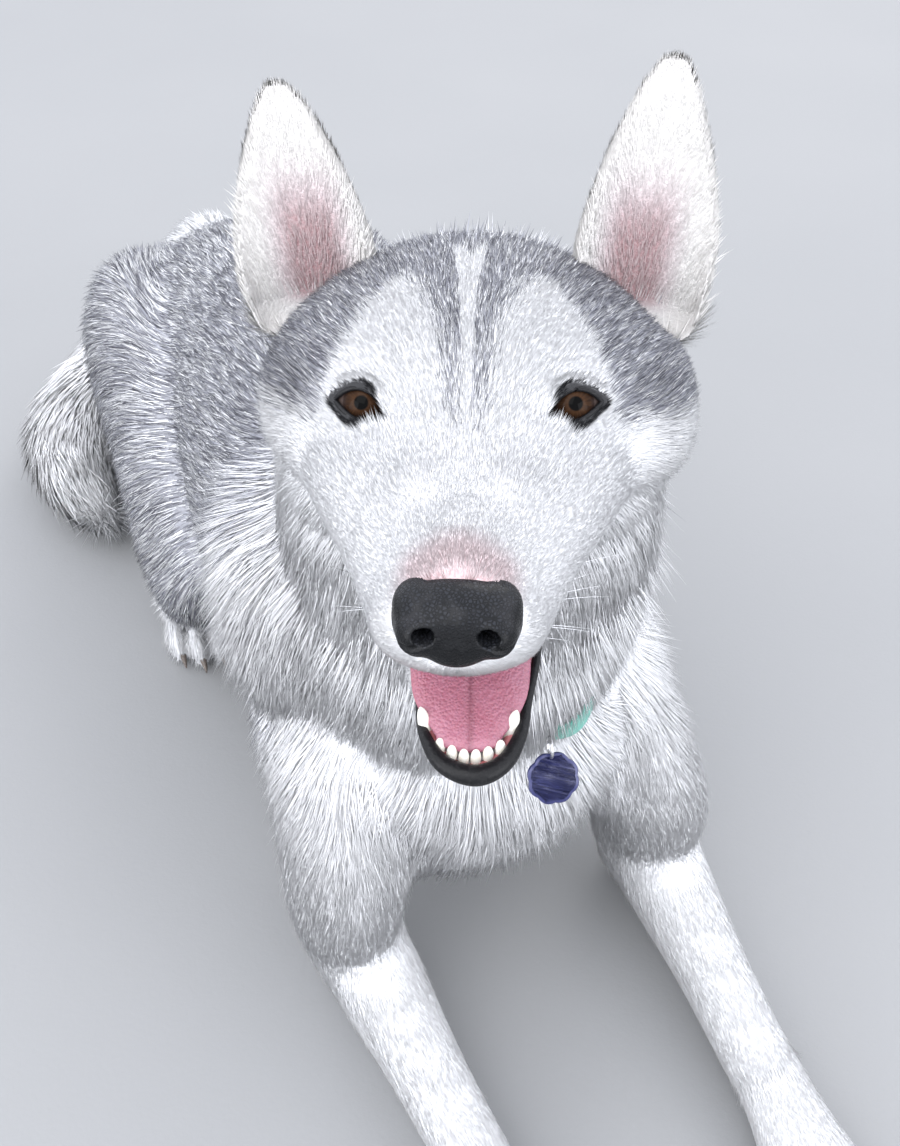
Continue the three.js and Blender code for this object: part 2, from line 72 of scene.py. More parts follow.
def turned(axis: str, degrees: float) -> Array:
    """Make the matrix of a turn about one axis.

    Args:
        axis: X, Y or Z.
        degrees: The turn, anticlockwise as the axis points at the eye.

    Returns:
        A 4x4 matrix.
    """
    c, s = math.cos(math.radians(degrees)), math.sin(math.radians(degrees))
    i, j = {"X": (1, 2), "Y": (2, 0), "Z": (0, 1)}[axis]
    turn = np.eye(4)
    turn[i, i] = turn[j, j] = c
    turn[i, j], turn[j, i] = -s, s
    return turn


def moved(x: float, y: float, z: float) -> Array:
    """Make the 4x4 matrix of a shift."""
    shift = np.eye(4)
    shift[:3, 3] = (x, y, z)
    return shift


def carried(place: Array, spots: Array) -> Array:
    """Give spots of a local frame in the dog's frame."""
    return spots @ place[:3, :3].T + place[:3, 3]


def seen_from(place: Array, spots: Array) -> Array:
    """Give spots of the dog's frame in a local frame."""
    return (spots - place[:3, 3]) @ place[:3, :3]


def unit(rows: Array) -> Array:
    """Scale each row to length one."""
    return rows / np.maximum(np.linalg.norm(rows, axis=-1, keepdims=True), 1e-9)


def rising(values: Array, low: float, high: float) -> Array:
    """Run smoothly from 0 at the low value to 1 at the high one."""
    t = np.clip((values - low) / (high - low), 0.0, 1.0)
    return t * t * (3.0 - 2.0 * t)


TRUNK_FRAME = moved(8, 125, 0) @ turned("Z", 21)
FACE_FRAME = moved(6, 0, 460) @ turned("Z", -2.5) @ turned("X", -13)
EYE_RADIUS = 11.5
LEFT_EYE_SOLID = (34.0, 2.0, 0.8)
NOSE_BED = ((0, -83.4, -33.3), (18.0, 13.2, 12.2))
PALATE = ((1, -44, -64), (16, 30, 9.5))
MOUTH_FLOOR = ((3.2, -44, -77), (15, 30, 8))


def eye_spot(side: int) -> tuple[float, float, float]:
    """Give an eye's middle in the face frame: the head is held a little askew."""
    return (33.6 * side, 2.0, 0.8 if side > 0 else -0.8)


def dog_origin() -> Array:
    """Find how far the shared frame lies from the dog's own, in millimetres, by its left eye."""
    low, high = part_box("eye_left")
    middle = (np.array(low) + np.array(high)) / 2 / MM
    return middle - carried(FACE_FRAME, np.array([LEFT_EYE_SOLID]))[0]


ORIGIN = dog_origin()


def metres(spots: Array) -> Array:
    """Give spots of the dog's frame in metres of the shared frame."""
    return (spots + ORIGIN) * MM


def millimetres(spots: Array) -> Array:
    """Give spots of the shared frame in millimetres of the dog's frame."""
    return spots / MM - ORIGIN


# ---------------------------------------------------------------- shapes


def catmull(points: Array, u: Array) -> Array:
    """Follow a smooth curve through points.

    Args:
        points: The points, one a row.
        u: Shares of the way along, from 0 to 1.

    Returns:
        The curve's value at each share.
    """
    spread = np.clip(u, 0, 1) * (len(points) - 1)
    i = np.minimum(spread.astype(int), len(points) - 2)
    w = (spread - i)[:, None]
    padded = np.vstack([2 * points[0] - points[1], points, 2 * points[-1] - points[-2]])
    a, b, c, d = padded[i], padded[i + 1], padded[i + 2], padded[i + 3]
    start, end = (c - a) / 2, (d - b) / 2
    bend = (3 * (c - b) - 2 * start - end) * w**2
    return b + start * w + bend + (2 * (b - c) + start + end) * w**3


@dataclass(frozen=True)
class Sweep:
    """A smooth body swept along its stations.

    Each row is x, y, z, half width, height above, depth below and, at an end, the end's own bulge.
    The depths are how far the skin lies inside the tips of the coat, one for each row.
    """

    rows: tuple[Row, ...]
    place: Array
    hint: tuple[float, float, float] = UP
    depths: tuple[float, ...] = (0.0,)

    def _girths(self) -> Array:
        """Give each row's half sizes at the skin."""
        girths = np.array([row[3:6] for row in self.rows])
        depths = np.interp(
            np.linspace(0, 1, len(self.rows)), np.linspace(0, 1, len(self.depths)), self.depths
        )
        return np.maximum(girths - depths[:, None], 1.0)

    def skin(self, u: Array, turn: Array, swell: Array | float = 1.0, push: Array | float = 0.0):
        """Place points on the skin.

        Args:
            u: Shares of the way along.
            turn: Turns about the line, where a quarter turn is the upper side.
            swell: How much of the girth is used.
            push: How far each point is moved along the line.

        Returns:
            The points, the outward directions and the line's directions, in the dog's frame.
        """
        line = np.array([row[:3] for row in self.rows])
        ahead = unit(catmull(line, u + 1e-4) - catmull(line, u - 1e-4))
        side = unit(np.cross(ahead, np.array(self.hint)))
        rise = np.cross(side, ahead)
        size = catmull(self._girths(), u)
        lift = np.where(np.sin(turn) > 0, size[:, 1], size[:, 2])
        outward = side * (np.cos(turn) * size[:, 0])[:, None] + rise * (np.sin(turn) * lift)[:, None]
        spots = catmull(line, u) + outward * np.reshape(swell, (-1, 1))
        spots = spots + ahead * np.reshape(push, (-1, 1))
        facing = side * (np.cos(turn) / size[:, 0])[:, None] + rise * (np.sin(turn) / lift)[:, None]
        spin = self.place[:3, :3].T
        return carried(self.place, spots), unit(facing @ spin), unit(ahead @ spin)

    def body(self, around: int = 32, along: int = 32, mould: Callable | None = None) -> Shape:
        """Build the closed body with round ends.

        Args:
            around: Faces about the line.
            along: Faces from one end to the other.
            mould: Turns shares and turns into a factor on the girth, for grooves.

        Returns:
            The body in metres.
        """
        shape = bmesh.new()
        bmesh.ops.create_uvsphere(shape, u_segments=around, v_segments=along, radius=1)
        ball = np.array([v.co for v in shape.verts])
        t = np.arccos(np.clip(ball[:, 2], -1, 1)) / np.pi
        turn = np.arctan2(ball[:, 1], ball[:, 0])
        share = max(2, round(along / 8)) / along
        caps = [row[6] if len(row) > 6 else 0.6 * row[3] for row in (self.rows[0], self.rows[-1])]
        caps = [max(cap - d, 1.0) for cap, d in zip(caps, (self.depths[0], self.depths[-1]))]
        end = np.where(t < share - 1e-9, -1, np.where(t > 1 - share + 1e-9, 1, 0))
        bow = np.where(end, np.minimum(t, 1 - t) / share * np.pi / 2, np.pi / 2)
        push = end * np.where(end > 0, caps[1], caps[0]) * np.cos(bow)
        u = np.clip((t - share) / (1 - 2 * share), 0, 1)
        swell = np.sin(bow) * (mould(u, turn) if mould else 1.0)
        return set_spots(shape, self.skin(u, turn, swell, push)[0])


def set_spots(shape: Shape, spots: Array) -> Shape:
    """Move a shape's points to spots of the dog's frame, and turn its faces outwards."""
    for vert, spot in zip(shape.verts, metres(spots)):
        vert.co = spot
    bmesh.ops.remove_doubles(shape, verts=shape.verts, dist=1e-7)
    bmesh.ops.recalc_face_normals(shape, faces=shape.faces)
    return shape


def ball(centre: Sequence[float], halves: Sequence[float], place: Array, turn: float = 0.0) -> Shape:
    """Build a stretched ball.

    Args:
        centre: Its middle in the local frame.
        halves: Its three half sizes.
        place: The local frame.
        turn: Its turn about the upright axis, in degrees.

    Returns:
        The ball in metres.
    """
    shape = bmesh.new()
    bmesh.ops.create_uvsphere(shape, u_segments=32, v_segments=20, radius=1)
    spots = np.array([v.co for v in shape.verts]) * np.array(halves)
    spots = spots @ turned("Z", turn)[:3, :3].T + np.array(centre)
    return set_spots(shape, carried(place, spots))


def bridged(rings: Sequence[Array], closed: bool) -> Shape:
    """Join rings of spots into one surface.

    Args:
        rings: The rings, each with the same number of spots in the dog's frame.
        closed: Whether the last ring runs on into the first; if not, both ends are filled.

    Returns:
        The surface in metres.
    """
    shape = bmesh.new()
    loops = []
    for ring in rings:
        verts = [shape.verts.new(p) for p in metres(ring)]
        loops.append([shape.edges.new(pair) for pair in zip(verts, verts[1:] + verts[:1])])
    for one, other in zip(loops, loops[1:] + (loops[:1] if closed else [])):
        bmesh.ops.bridge_loops(shape, edges=one + other)
    if not closed:
        bmesh.ops.holes_fill(shape, edges=loops[0] + loops[-1])
    bmesh.ops.recalc_face_normals(shape, faces=shape.faces)
    return shape


def tube(path: Array, radius: float | Sequence[float], around: int = 10, closed: bool = False) -> Shape:
    """Build a round cord along a path.

    Args:
        path: The points of the path, in the dog's frame.
        radius: One radius, or one for each point.
        around: Faces about the cord.
        closed: Whether the last point runs on into the first.

    Returns:
        The cord in metres.
    """
    radii = np.broadcast_to(np.asarray(radius, float), (len(path),))
    after = np.roll(path, -1, 0) - np.roll(path, 1, 0)
    if not closed:
        after[0], after[-1] = path[1] - path[0], path[-1] - path[-2]
    ahead = unit(after)
    side = unit(np.cross(ahead[0], ahead[0][[1, 2, 0]]))
    angles = np.linspace(0, 2 * np.pi, around, endpoint=False)
    rings = []
    for spot, way, size in zip(path, ahead, radii):
        side = unit(side - way * (side @ way))
        rise = np.cross(way, side)
        rings.append(spot + size * (np.outer(np.cos(angles), side) + np.outer(np.sin(angles), rise)))
    return bridged(rings, closed)


class Carve(Enum):
    """How one body changes another."""

    CUT = "DIFFERENCE"
    JOIN = "UNION"


def mesh_of(shapes: Iterable[Shape], name: str) -> bpy.types.Mesh:
    """Gather shapes into one mesh."""
    whole = bmesh.new()
    for shape in shapes:
        part = bpy.data.meshes.new("part")
        shape.to_mesh(part)
        shape.free()
        whole.from_mesh(part)
        bpy.data.meshes.remove(part)
    mesh = bpy.data.meshes.new(name)
    whole.to_mesh(mesh)
    whole.free()
    return mesh


def shape_of(mesh: bpy.types.Mesh) -> Shape:
    """Open a mesh for editing."""
    shape = bmesh.new()
    shape.from_mesh(mesh)
    return shape


def linked(name: str, data: bpy.types.ID) -> bpy.types.Object:
    """Put an object in the scene."""
    thing = bpy.data.objects.new(name, data)
    bpy.context.scene.collection.objects.link(thing)
    return thing


def finished(mesh: bpy.types.Mesh, kind: str, **settings: object) -> bpy.types.Mesh:
    """Run one modifier over a mesh and give the result."""
    thing = linked("work", mesh)
    modifier = thing.modifiers.new("work", kind)
    for key, value in settings.items():
        setattr(modifier, key, value)
    graph = bpy.context.evaluated_depsgraph_get()
    result = bpy.data.meshes.new_from_object(thing.evaluated_get(graph))
    bpy.data.objects.remove(thing)
    return result


def carved(body: bpy.types.Mesh, tools: list[Shape], how: Carve) -> bpy.types.Mesh:
    """Cut or join tools into a body, one after the other.

    Args:
        body: The mesh to change.
        tools: Closed shapes.
        how: Whether they are cut away or joined on.

    Returns:
        The changed mesh.
    """
    for tool in tools:
        thing = linked("tool", mesh_of([tool], "tool"))
        body = finished(body, "BOOLEAN", object=thing, operation=how.value, solver="MANIFOLD")
        bpy.data.objects.remove(thing)
    return body


def smoothed(mesh: bpy.types.Mesh, rounds: int) -> bpy.types.Mesh:
    """Even out a mesh and keep it above the floor."""
    shape = shape_of(mesh)
    for _ in range(rounds):
        bmesh.ops.smooth_vert(
            shape, verts=shape.verts, factor=0.5, use_axis_x=True, use_axis_y=True, use_axis_z=True
        )
    for vert in shape.verts:
        vert.co.z = max(vert.co.z, FLOOR_CLEAR * MM)
    shape.to_mesh(mesh)
    shape.free()
    return mesh


def remeshed(mesh: bpy.types.Mesh, voxel: float, rounds: int) -> bpy.types.Mesh:
    """Give a mesh new, even faces.

    Args:
        mesh: The mesh.
        voxel: The size of the new faces, in millimetres.
        rounds: How often the result is evened out.

    Returns:
        The new mesh.
    """
    return smoothed(finished(mesh, "REMESH", mode="VOXEL", voxel_size=voxel * MM), rounds)


def fused(shapes: Iterable[Shape], voxel: float, rounds: int) -> bpy.types.Mesh:
    """Fuse overlapping shapes into one closed surface with new, even faces."""
    return remeshed(mesh_of(shapes, "loose"), voxel, rounds)


class Finish(Protocol):
    """Anything that makes a material of its own."""

    name: str

    def material(self) -> bpy.types.Material:
        """Make the material."""


MADE: dict[str, bpy.types.Material] = {}


def dress(thing: bpy.types.Object, finish: Finish) -> None:
    """Give a thing its one material, which is made only once."""
    if finish.name not in MADE:
        MADE[finish.name] = finish.material()
    thing.data.materials.clear()
    thing.data.materials.append(MADE[finish.name])


def piece(name: str, mesh: bpy.types.Mesh, finish: Finish, replaces: Sequence[str] = ()) -> None:
    """Put a finished mesh in the scene as a piece of the dog.

    Args:
        name: The piece's name.
        mesh: Its mesh, in metres.
        finish: Its finish.
        replaces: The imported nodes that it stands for.
    """
    mesh.name = name
    thing = linked(name, mesh)
    mesh.shade_smooth()
    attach(thing, "root")
    if replaces:
        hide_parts(*replaces)
    dress(thing, finish)
    LOG.info("%s: %d faces", name, len(mesh.polygons))


def points_of(mesh: bpy.types.Mesh, what: str = "vertices", key: str = "co") -> Array:
    """Read one vector for each vertex of a mesh."""
    values = np.empty(len(getattr(mesh, what)) * 3)
    getattr(mesh, what).foreach_get(key, values)
    return values.reshape(-1, 3)


def corners_of(mesh: bpy.types.Mesh) -> Array:
    """Read the vertex at each corner of a mesh's faces."""
    corners = np.empty(len(mesh.loops), int)
    mesh.loops.foreach_get("vertex_index", corners)
    return corners


def set_attribute(mesh: bpy.types.Mesh, name: str, values: Array) -> None:
    """Store numbers or vectors at the vertices of a mesh."""
    kind, key = ("FLOAT_VECTOR", "vector") if values.ndim == 2 else ("FLOAT", "value")
    layer = mesh.attributes.new(name, kind, "POINT")
    layer.data.foreach_set(key, np.ascontiguousarray(values, np.float32).ravel())


# ---------------------------------------------------------------- markings


def face_spots(spots: Array) -> tuple[Array, Array, Array]:
    """Split spots of the dog's frame into the face frame's left, back and up."""
    return tuple(seen_from(FACE_FRAME, spots).T)


def ripple(spots: Array, size: float, seed: float) -> Array:
    """Give a smooth, wavering number about zero at each spot, with waves of one size."""
    k = 2 * np.pi / size
    x, y, z = spots.T
    wave = np.sin(k * (x + 0.37 * y) + seed) * np.sin(k * (0.83 * y - 0.41 * z) + 2.1 * seed)
    return 0.6 * wave + 0.4 * np.sin(k * (1.31 * z + 0.53 * x) + 3.7 * seed) * np.sin(k * 0.9 * y + seed)


LID_MIDDLE = (34, -4, 0)
LID_REACH = 21


def eye_gap(local: Array, side: int) -> Array:
    """Measure how far spots of the face frame lie from the edge of one eye's opening."""
    near = np.full(len(local), 1e3)
    close = np.abs(local - np.array(LID_MIDDLE) * (side, 1, 1)).max(1) < LID_REACH
    if close.any():
        edge = EYE_LIDS.on_ball(side, EYE_RADIUS + 1.6)
        near[close] = np.linalg.norm(local[close, None] - edge[None], axis=2).min(1)
    return near


@dataclass(frozen=True)
class Markings:
    """Where the coat is grey, dark or pink, the same for the skin and for the tufts on it."""

    blaze_top: float = 60.0
    temple_edge: tuple[tuple[float, float], ...] = (
        (-8, 52), (-2, 48), (3, 43.5), (8, 40), (19, 34), (30, 28), (40, 21), (48, 13), (56, 4),
    )

    tail: tuple[tuple[tuple[float, float, float], float], ...] = (
        ((-6, 570, 160), 32), ((-22, 588, 134), 34), ((-44, 596, 104), 36), ((-72, 594, 78), 39),
        ((-104, 584, 58), 42), ((-130, 560, 48), 43), ((-148, 528, 44), 43), ((-156, 496, 42), 40),
        ((-156, 464, 40), 45), ((-150, 432, 36), 46), ((-2, 540, 184), 24),
    )

    def cap(self, x: Array, y: Array, z: Array) -> Array:
        """Give the grey of the crown, the stripes between the eyes and the temples."""
        centre = -0.5 - 0.02 * y
        off = np.abs(x - centre)
        blaze = np.interp(y, [-30, -20, -8, 10, 40, 60], [0.4, 1.4, 1.8, 2.6, 4.2, 6.2])
        notch = self.blaze_top - 7 * np.exp(-((off / 2.5) ** 2))
        inside_blaze = (1 - rising(off, blaze - 0.8, blaze + 0.9)) * (1 - rising(y, notch - 1, notch + 2))
        stripe_out = np.interp(y, [-32, -20, -5, 8, 20, 32, 45, 60], [4, 7.5, 9, 11.5, 15, 20, 32, 60])
        soft = np.interp(y, [-30, -5, 20, 50], [3, 3.5, 7, 10])
        stripes = 1 - rising(off, stripe_out - soft, stripe_out + soft)
        stripes = stripes * rising(y, -36, -14) * (0.62 + 0.38 * rising(y, -20, 20))
        edge = np.interp(y, *zip(*self.temple_edge))
        temple = rising(np.abs(x), edge - 3.5, edge + 6) * rising(z, -17, -5)
        crown = rising(y, 38, 58)
        above = rising(z, -12, 2)
        grey = np.maximum(np.maximum(stripes, crown), temple) * above
        return grey * (1 - inside_blaze * rising(y, -32, -22)) * rising(y, -38, -20)

    def saddle(self, spots: Array) -> Array:
        """Give the grey of the back, the flanks, the thighs and the nape."""
        x, y, z = seen_from(TRUNK_FRAME, spots).T
        waver = 10 * ripple(spots, 90, 1.3)
        back = rising(y + 0.25 * (z - 150) + waver, 58, 96)
        low = rising(z + 0.6 * waver, *np.where(y[None] > 230, [[14], [52]], [[62], [110]]))
        gap = np.full(len(x), 1e3)
        for spot, radius in self.tail:
            gap = np.minimum(gap, np.linalg.norm(np.stack([x, y, z], 1) - np.array(spot), axis=1) - radius)
        grey = back * low * rising(gap + 0.3 * waver, 11, 21) * 0.8
        height = spots[:, 2]
        nape = rising(spots[:, 1] + 0.5 * waver, 88, 124) * rising(height, 300, 350)
        withers = rising(spots[:, 1] + waver, 165, 205) * rising(height, 220, 262)
        fold = np.exp(-(((x + 99) / 14) ** 2) - ((y - 26) / 24) ** 2) * rising(z, 165, 200)
        return np.maximum.reduce([grey, 0.9 * nape, 0.95 * withers, 0.7 * fold])

    def grey(self, spots: Array) -> Array:
        """Give the share of dark-tipped hair at each spot of the dog's frame."""
        x, y, z = face_spots(spots)
        on_head = rising(-y, -118, -96) * rising(z, -75, -45)
        return np.clip(self.cap(x, y, z) * on_head + self.saddle(spots) * (1 - on_head), 0, 1)

    def dark(self, spots: Array) -> Array:
        """Give the near-black hair: round the eyes, over them, by their inner corners and in the temples'
        core.
        """
        x, y, z = face_spots(spots)
        rims = np.zeros(len(x))
        local = np.stack([x, y, z], 1)
        for s in SIDES.values():
            near = eye_gap(local, s)
            rims = np.maximum(rims, 1 - rising(near, 2.9, 4.2))
            brow = np.exp(-(((near - 4.9) / 1.1) ** 2)) * rising(z, 6, 9) * rising(s * x, 24, 29)
            inner = np.linalg.norm((local - np.array([s * 21, -11, -5.5])) / (1, 1.2, 0.8), axis=1)
            rims = np.maximum.reduce([rims, 0.5 * brow, 0.5 * (1 - rising(inner, 2, 8))])
        temple = np.exp(-(((np.abs(x) - 60) / 12) ** 2) - ((z - 1) / 11) ** 2) * rising(y, -2, 8) * (y < 60)
        return np.clip(np.maximum(rims, 0.4 * temple), 0, 1)

    def blush(self, spots: Array) -> Array:
        """Give the pink: a band over the nose and the skin by the lips."""
        x, y, z = face_spots(spots)
        band = rising(-y, 63, 75) * rising(z, -34, -24) * (1 - rising(np.abs(x), 13, 22))
        lips = 0.4 * rising(-y, 50, 66) * (1 - rising(z, -52, -44)) * rising(z, -84, -72)
        return np.clip(np.maximum(0.85 * band, lips), 0, 1)

    def at(self, spots: Array) -> dict[str, Array]:
        """Give every marking at spots of the dog's frame."""
        return {"grey": self.grey(spots), "dark": self.dark(spots), "blush": self.blush(spots),
                "cream": np.zeros(len(spots))}


@dataclass(frozen=True)
class EyeLids:
    """The opening between the lids, drawn flat and pushed up and forward through the lids."""

    outer: tuple[float, float] = (10.5, 1.5)
    inner: tuple[float, float] = (-10.2, -6.5)
    over: tuple[float, float] = (-0.6, 11.8)
    under: tuple[float, float] = (2.6, -8.7)
    slant: float = 66.0
    swing: float = 1.0

    def outline(self, side: int, steps: int = 20) -> Array:
        """Draw the opening's edge in the face frame, from the outer corner over the top and back."""
        outer, inner, over, under = (np.array(p) * (side, 1) for p in
                                     (self.outer, self.inner, self.over, self.under))
        t = np.linspace(0, 1, steps, endpoint=False)[:, None]
        arc = lambda a, b, c: (1 - t) ** 2 * a + 2 * t * (1 - t) * b + t**2 * c
        flat = np.vstack([arc(outer, over, inner), arc(inner, under, outer)])
        spots = np.column_stack([flat, np.zeros(len(flat))])
        return spots @ self._turn(side)[:3, :3].T + np.array(eye_spot(side)) - (0, 0, 1.2)

    def _turn(self, side: int) -> Array:
        """Give the turn that lays the flat opening over the eye."""
        return turned("Z", side * self.swing) @ turned("X", self.slant)

    def way(self, side: int) -> Array:
        """Give the direction in which the opening is pushed through the lids, in the face frame."""
        return self._turn(side)[:3, 2]

    def on_ball(self, side: int, radius: float) -> Array:
        """Lay the opening's edge on a ball about the eye."""
        edge, way = self.outline(side), self.way(side)
        off = edge - np.array(eye_spot(side))
        along = off @ way
        reach = -along + np.sqrt(np.maximum(along**2 - (off**2).sum(1) + radius**2, 0))
        return edge + reach[:, None] * way

    def slit(self, side: int) -> Shape:
        """Build the prism that opens the lids."""
        edge, way = self.outline(side), self.way(side)
        shape = bmesh.new()
        low = [shape.verts.new(p) for p in metres(carried(FACE_FRAME, edge))]
        face = shape.faces.new(low)
        grown = bmesh.ops.extrude_face_region(shape, geom=[face])
        push = (FACE_FRAME[:3, :3] @ way) * 30 * MM
        verts = [g for g in grown["geom"] if isinstance(g, bmesh.types.BMVert)]
        bmesh.ops.translate(shape, verts=verts, vec=push)
        bmesh.ops.recalc_face_normals(shape, faces=shape.faces)
        return shape


EYE_LIDS = EyeLids()
MARKINGS = Markings()


# ---------------------------------------------------------------- finishes


class Wire:
    """A socket of a shader node, so that sums on it are written as Python."""

    def __init__(self, desk: "Desk", socket: bpy.types.NodeSocket) -> None:
        """Keep the socket and the desk that it belongs to."""
        self.desk, self.socket = desk, socket

    def _sum(self, kind: str, *values: "Wire | float") -> "Wire":
        """Add one Math node."""
        return self.desk.wire("ShaderNodeMath", {"operation": kind}, dict(enumerate(values)))

    def __add__(self, other: "Wire | float") -> "Wire":
        """Add."""
        return self._sum("ADD", self, other)

    __radd__ = __add__

    def __sub__(self, other: "Wire | float") -> "Wire":
        """Take away."""
        return self._sum("SUBTRACT", self, other)

    def __rsub__(self, other: float) -> "Wire":
        """Take this from a number."""
        return self._sum("SUBTRACT", other, self)

    def __mul__(self, other: "Wire | float") -> "Wire":
        """Multiply."""
        return self._sum("MULTIPLY", self, other)

    __rmul__ = __mul__

    def __truediv__(self, other: "Wire | float") -> "Wire":
        """Divide."""
        return self._sum("DIVIDE", self, other)

    def __rtruediv__(self, other: float) -> "Wire":
        """Divide a number by this."""
        return self._sum("DIVIDE", other, self)

    def fraction(self) -> "Wire":
        """Keep what lies behind the decimal point."""
        return self._sum("FRACT", self)

    def sine(self) -> "Wire":
        """Give the sine."""
        return self._sum("SINE", self)

    def step(self, low: float, high: float) -> "Wire":
        """Run smoothly from 0 at the low value to 1 at the high one."""
        settings = {"interpolation_type": "SMOOTHSTEP"}
        return self.desk.wire("ShaderNodeMapRange", settings, {0: self, 1: low, 2: high})

    def most(self, other: "Wire | float") -> "Wire":
        """Keep the greater."""
        return self._sum("MAXIMUM", self, other)


Colour = tuple[float, float, float]


class Desk:
    """The node tree of one material."""

    def __init__(self, name: str) -> None:
        """Start a material with an empty shader."""
        self.material = bpy.data.materials.new(name)
        self.material.use_nodes = True
        self.tree = self.material.node_tree
        self.shader = self.tree.nodes["Principled BSDF"]

    def node(self, kind: str, settings: dict[str, object], inputs: dict[object, object]):
        """Add a node.

        Args:
            kind: The node's type.
            settings: Its settings, set first.
            inputs: Its sockets' values or links.

        Returns:
            The node.
        """
        node = self.tree.nodes.new(kind)
        for key, value in settings.items():
            setattr(node, key, value)
        for key, value in inputs.items():
            self.plug(node.inputs[key], value)
        return node

    def plug(self, socket: bpy.types.NodeSocket, value: object) -> None:
        """Link or set one socket."""
        if isinstance(value, Wire):
            self.tree.links.new(value.socket, socket)
        elif isinstance(value, tuple) and socket.type == "RGBA":
            socket.default_value = (*value, 1)
        else:
            socket.default_value = value

    def wire(self, kind: str, settings: dict, inputs: dict, out: int | str = 0) -> Wire:
        """Add a node and give one of its outputs."""
        return Wire(self, self.node(kind, settings, inputs).outputs[out])

    def attribute(self, name: str, out: str = "Fac") -> Wire:
        """Read an attribute of the piece."""
        return self.wire("ShaderNodeAttribute", {"attribute_name": name}, {}, out)

    def place(self) -> Wire:
        """Read the Object coordinates."""
        return self.wire("ShaderNodeTexCoord", {}, {}, "Object")

    def normal(self) -> Wire:
        """Read the surface's own normal."""
        return self.wire("ShaderNodeNewGeometry", {}, {}, "Normal")

    def vector(self, kind: str, *values: object, out: int = 0) -> Wire:
        """Add one Vector Math node."""
        return self.wire("ShaderNodeVectorMath", {"operation": kind}, dict(enumerate(values)), out)

    def mix(self, share: Wire | float, one: Wire | Colour, other: Wire | Colour, how: str = "MIX") -> Wire:
        """Mix two colours."""
        settings = {"data_type": "RGBA", "blend_type": how}
        return self.wire("ShaderNodeMix", settings, {0: share, 6: one, 7: other}, 2)

    def noise(self, size: float, detail: float = 3, rough: float = 0.55) -> Wire:
        """Give soft noise whose blots are one size, in millimetres."""
        inputs = {"Vector": self.place(), "Scale": 1 / (size * MM), "Detail": detail, "Roughness": rough}
        return self.wire("ShaderNodeTexNoise", {}, inputs)

    def bump(self, height: Wire, depth: float) -> Wire:
        """Raise a surface by a height, in millimetres."""
        inputs = {"Height": height, "Distance": depth * MM, "Strength": 1.0}
        return self.wire("ShaderNodeBump", {}, inputs)

    def finish(self, **sockets: object) -> bpy.types.Material:
        """Feed the shader's sockets, named with underscores for spaces."""
        for key, value in sockets.items():
            words = key.replace("_", " ").title().replace("Ior", "IOR")
            self.plug(self.shader.inputs[words], value)
        return self.material


@dataclass(frozen=True)
class CoatFinish:
    """Fur: white, with painted shade at the roots, and grey hair that is pale at the root and dark at the
    tip.
    """

    name: str
    tufts: bool = True
    white: Colour = (0.94, 0.945, 0.96)
    # painted shade: the darker white at the tufts' roots and in patches of the bare skin, standing for the
    # shade deep in the coat
    painted_shade: Colour = (0.90, 0.91, 0.94)
    grey: Colour = (0.47, 0.48, 0.54)
    deep: Colour = (0.10, 0.10, 0.125)
    slate: Colour = (0.007, 0.007, 0.009)
    pink: Colour = (0.56, 0.33, 0.34)
    cream: Colour = (0.88, 0.85, 0.81)

    def material(self) -> bpy.types.Material:
        """Make the material."""
        desk = Desk(self.name)
        grey, dark, blush, cream = (desk.attribute(n) for n in ("grey", "dark", "blush", "cream"))
        blots = desk.noise(26, 2)
        if self.tufts:
            tip, seed = desk.attribute("tip"), desk.attribute("seed")
            other = (seed * 57.3).fraction()
            pick = (grey * 0.84 - seed).step(-0.02, 0.1)
            band = tip.step(0.0, 0.5) * 0.7 + 0.3
            light = other * 0.08 + 0.94
            root = tip.step(0.0, 0.5)
        else:
            fine = desk.noise(1.1, 4, 0.7)
            other = desk.noise(2.3, 3, 0.6)
            pick = (grey * 1.1 - fine * 0.9 + 0.2).step(0.0, 0.5)
            band = fine * 0.3 + 0.65
            # painted shade: the bare skin is darkened so that it looks like the shaded fur deep between the
            # tufts
            light = fine * 0.25 + 0.7
            root = fine.step(0.3, 0.8)
        # painted shade towards the roots, white towards the tips
        base = desk.mix(root, self.painted_shade, self.white)
        base = desk.mix(cream, base, self.cream)
        base = desk.mix(blush * (1 - root * 0.35), base, self.pink)
        tone = desk.mix((other + blots * 0.3).step(0.15, 1.15), self.deep, self.grey)
        colour = desk.mix(pick * band, base, tone)
        colour = desk.mix(dark * (band * 0.2 + 0.8), colour, self.slate)
        # brightness: each tuft's own random tone on the tufts, painted shade on the bare skin
        lit = desk.wire("ShaderNodeCombineColor", {}, {0: light, 1: light, 2: light})
        colour = desk.mix(1.0, colour, lit, "MULTIPLY")
        if self.tufts:
            ends = {0: 0.93, 4: desk.normal(), 5: desk.attribute("lay", "Vector")}
            normal = desk.vector("NORMALIZE", desk.wire("ShaderNodeMix", {"data_type": "VECTOR"}, ends, 1))
        else:
            normal = desk.bump(desk.noise(1.6, 4, 0.7), 0.8)
        return desk.finish(base_color=colour, roughness=0.72, normal=normal,
                           specular_ior_level=0.12, sheen_weight=0.05, sheen_roughness=0.5)


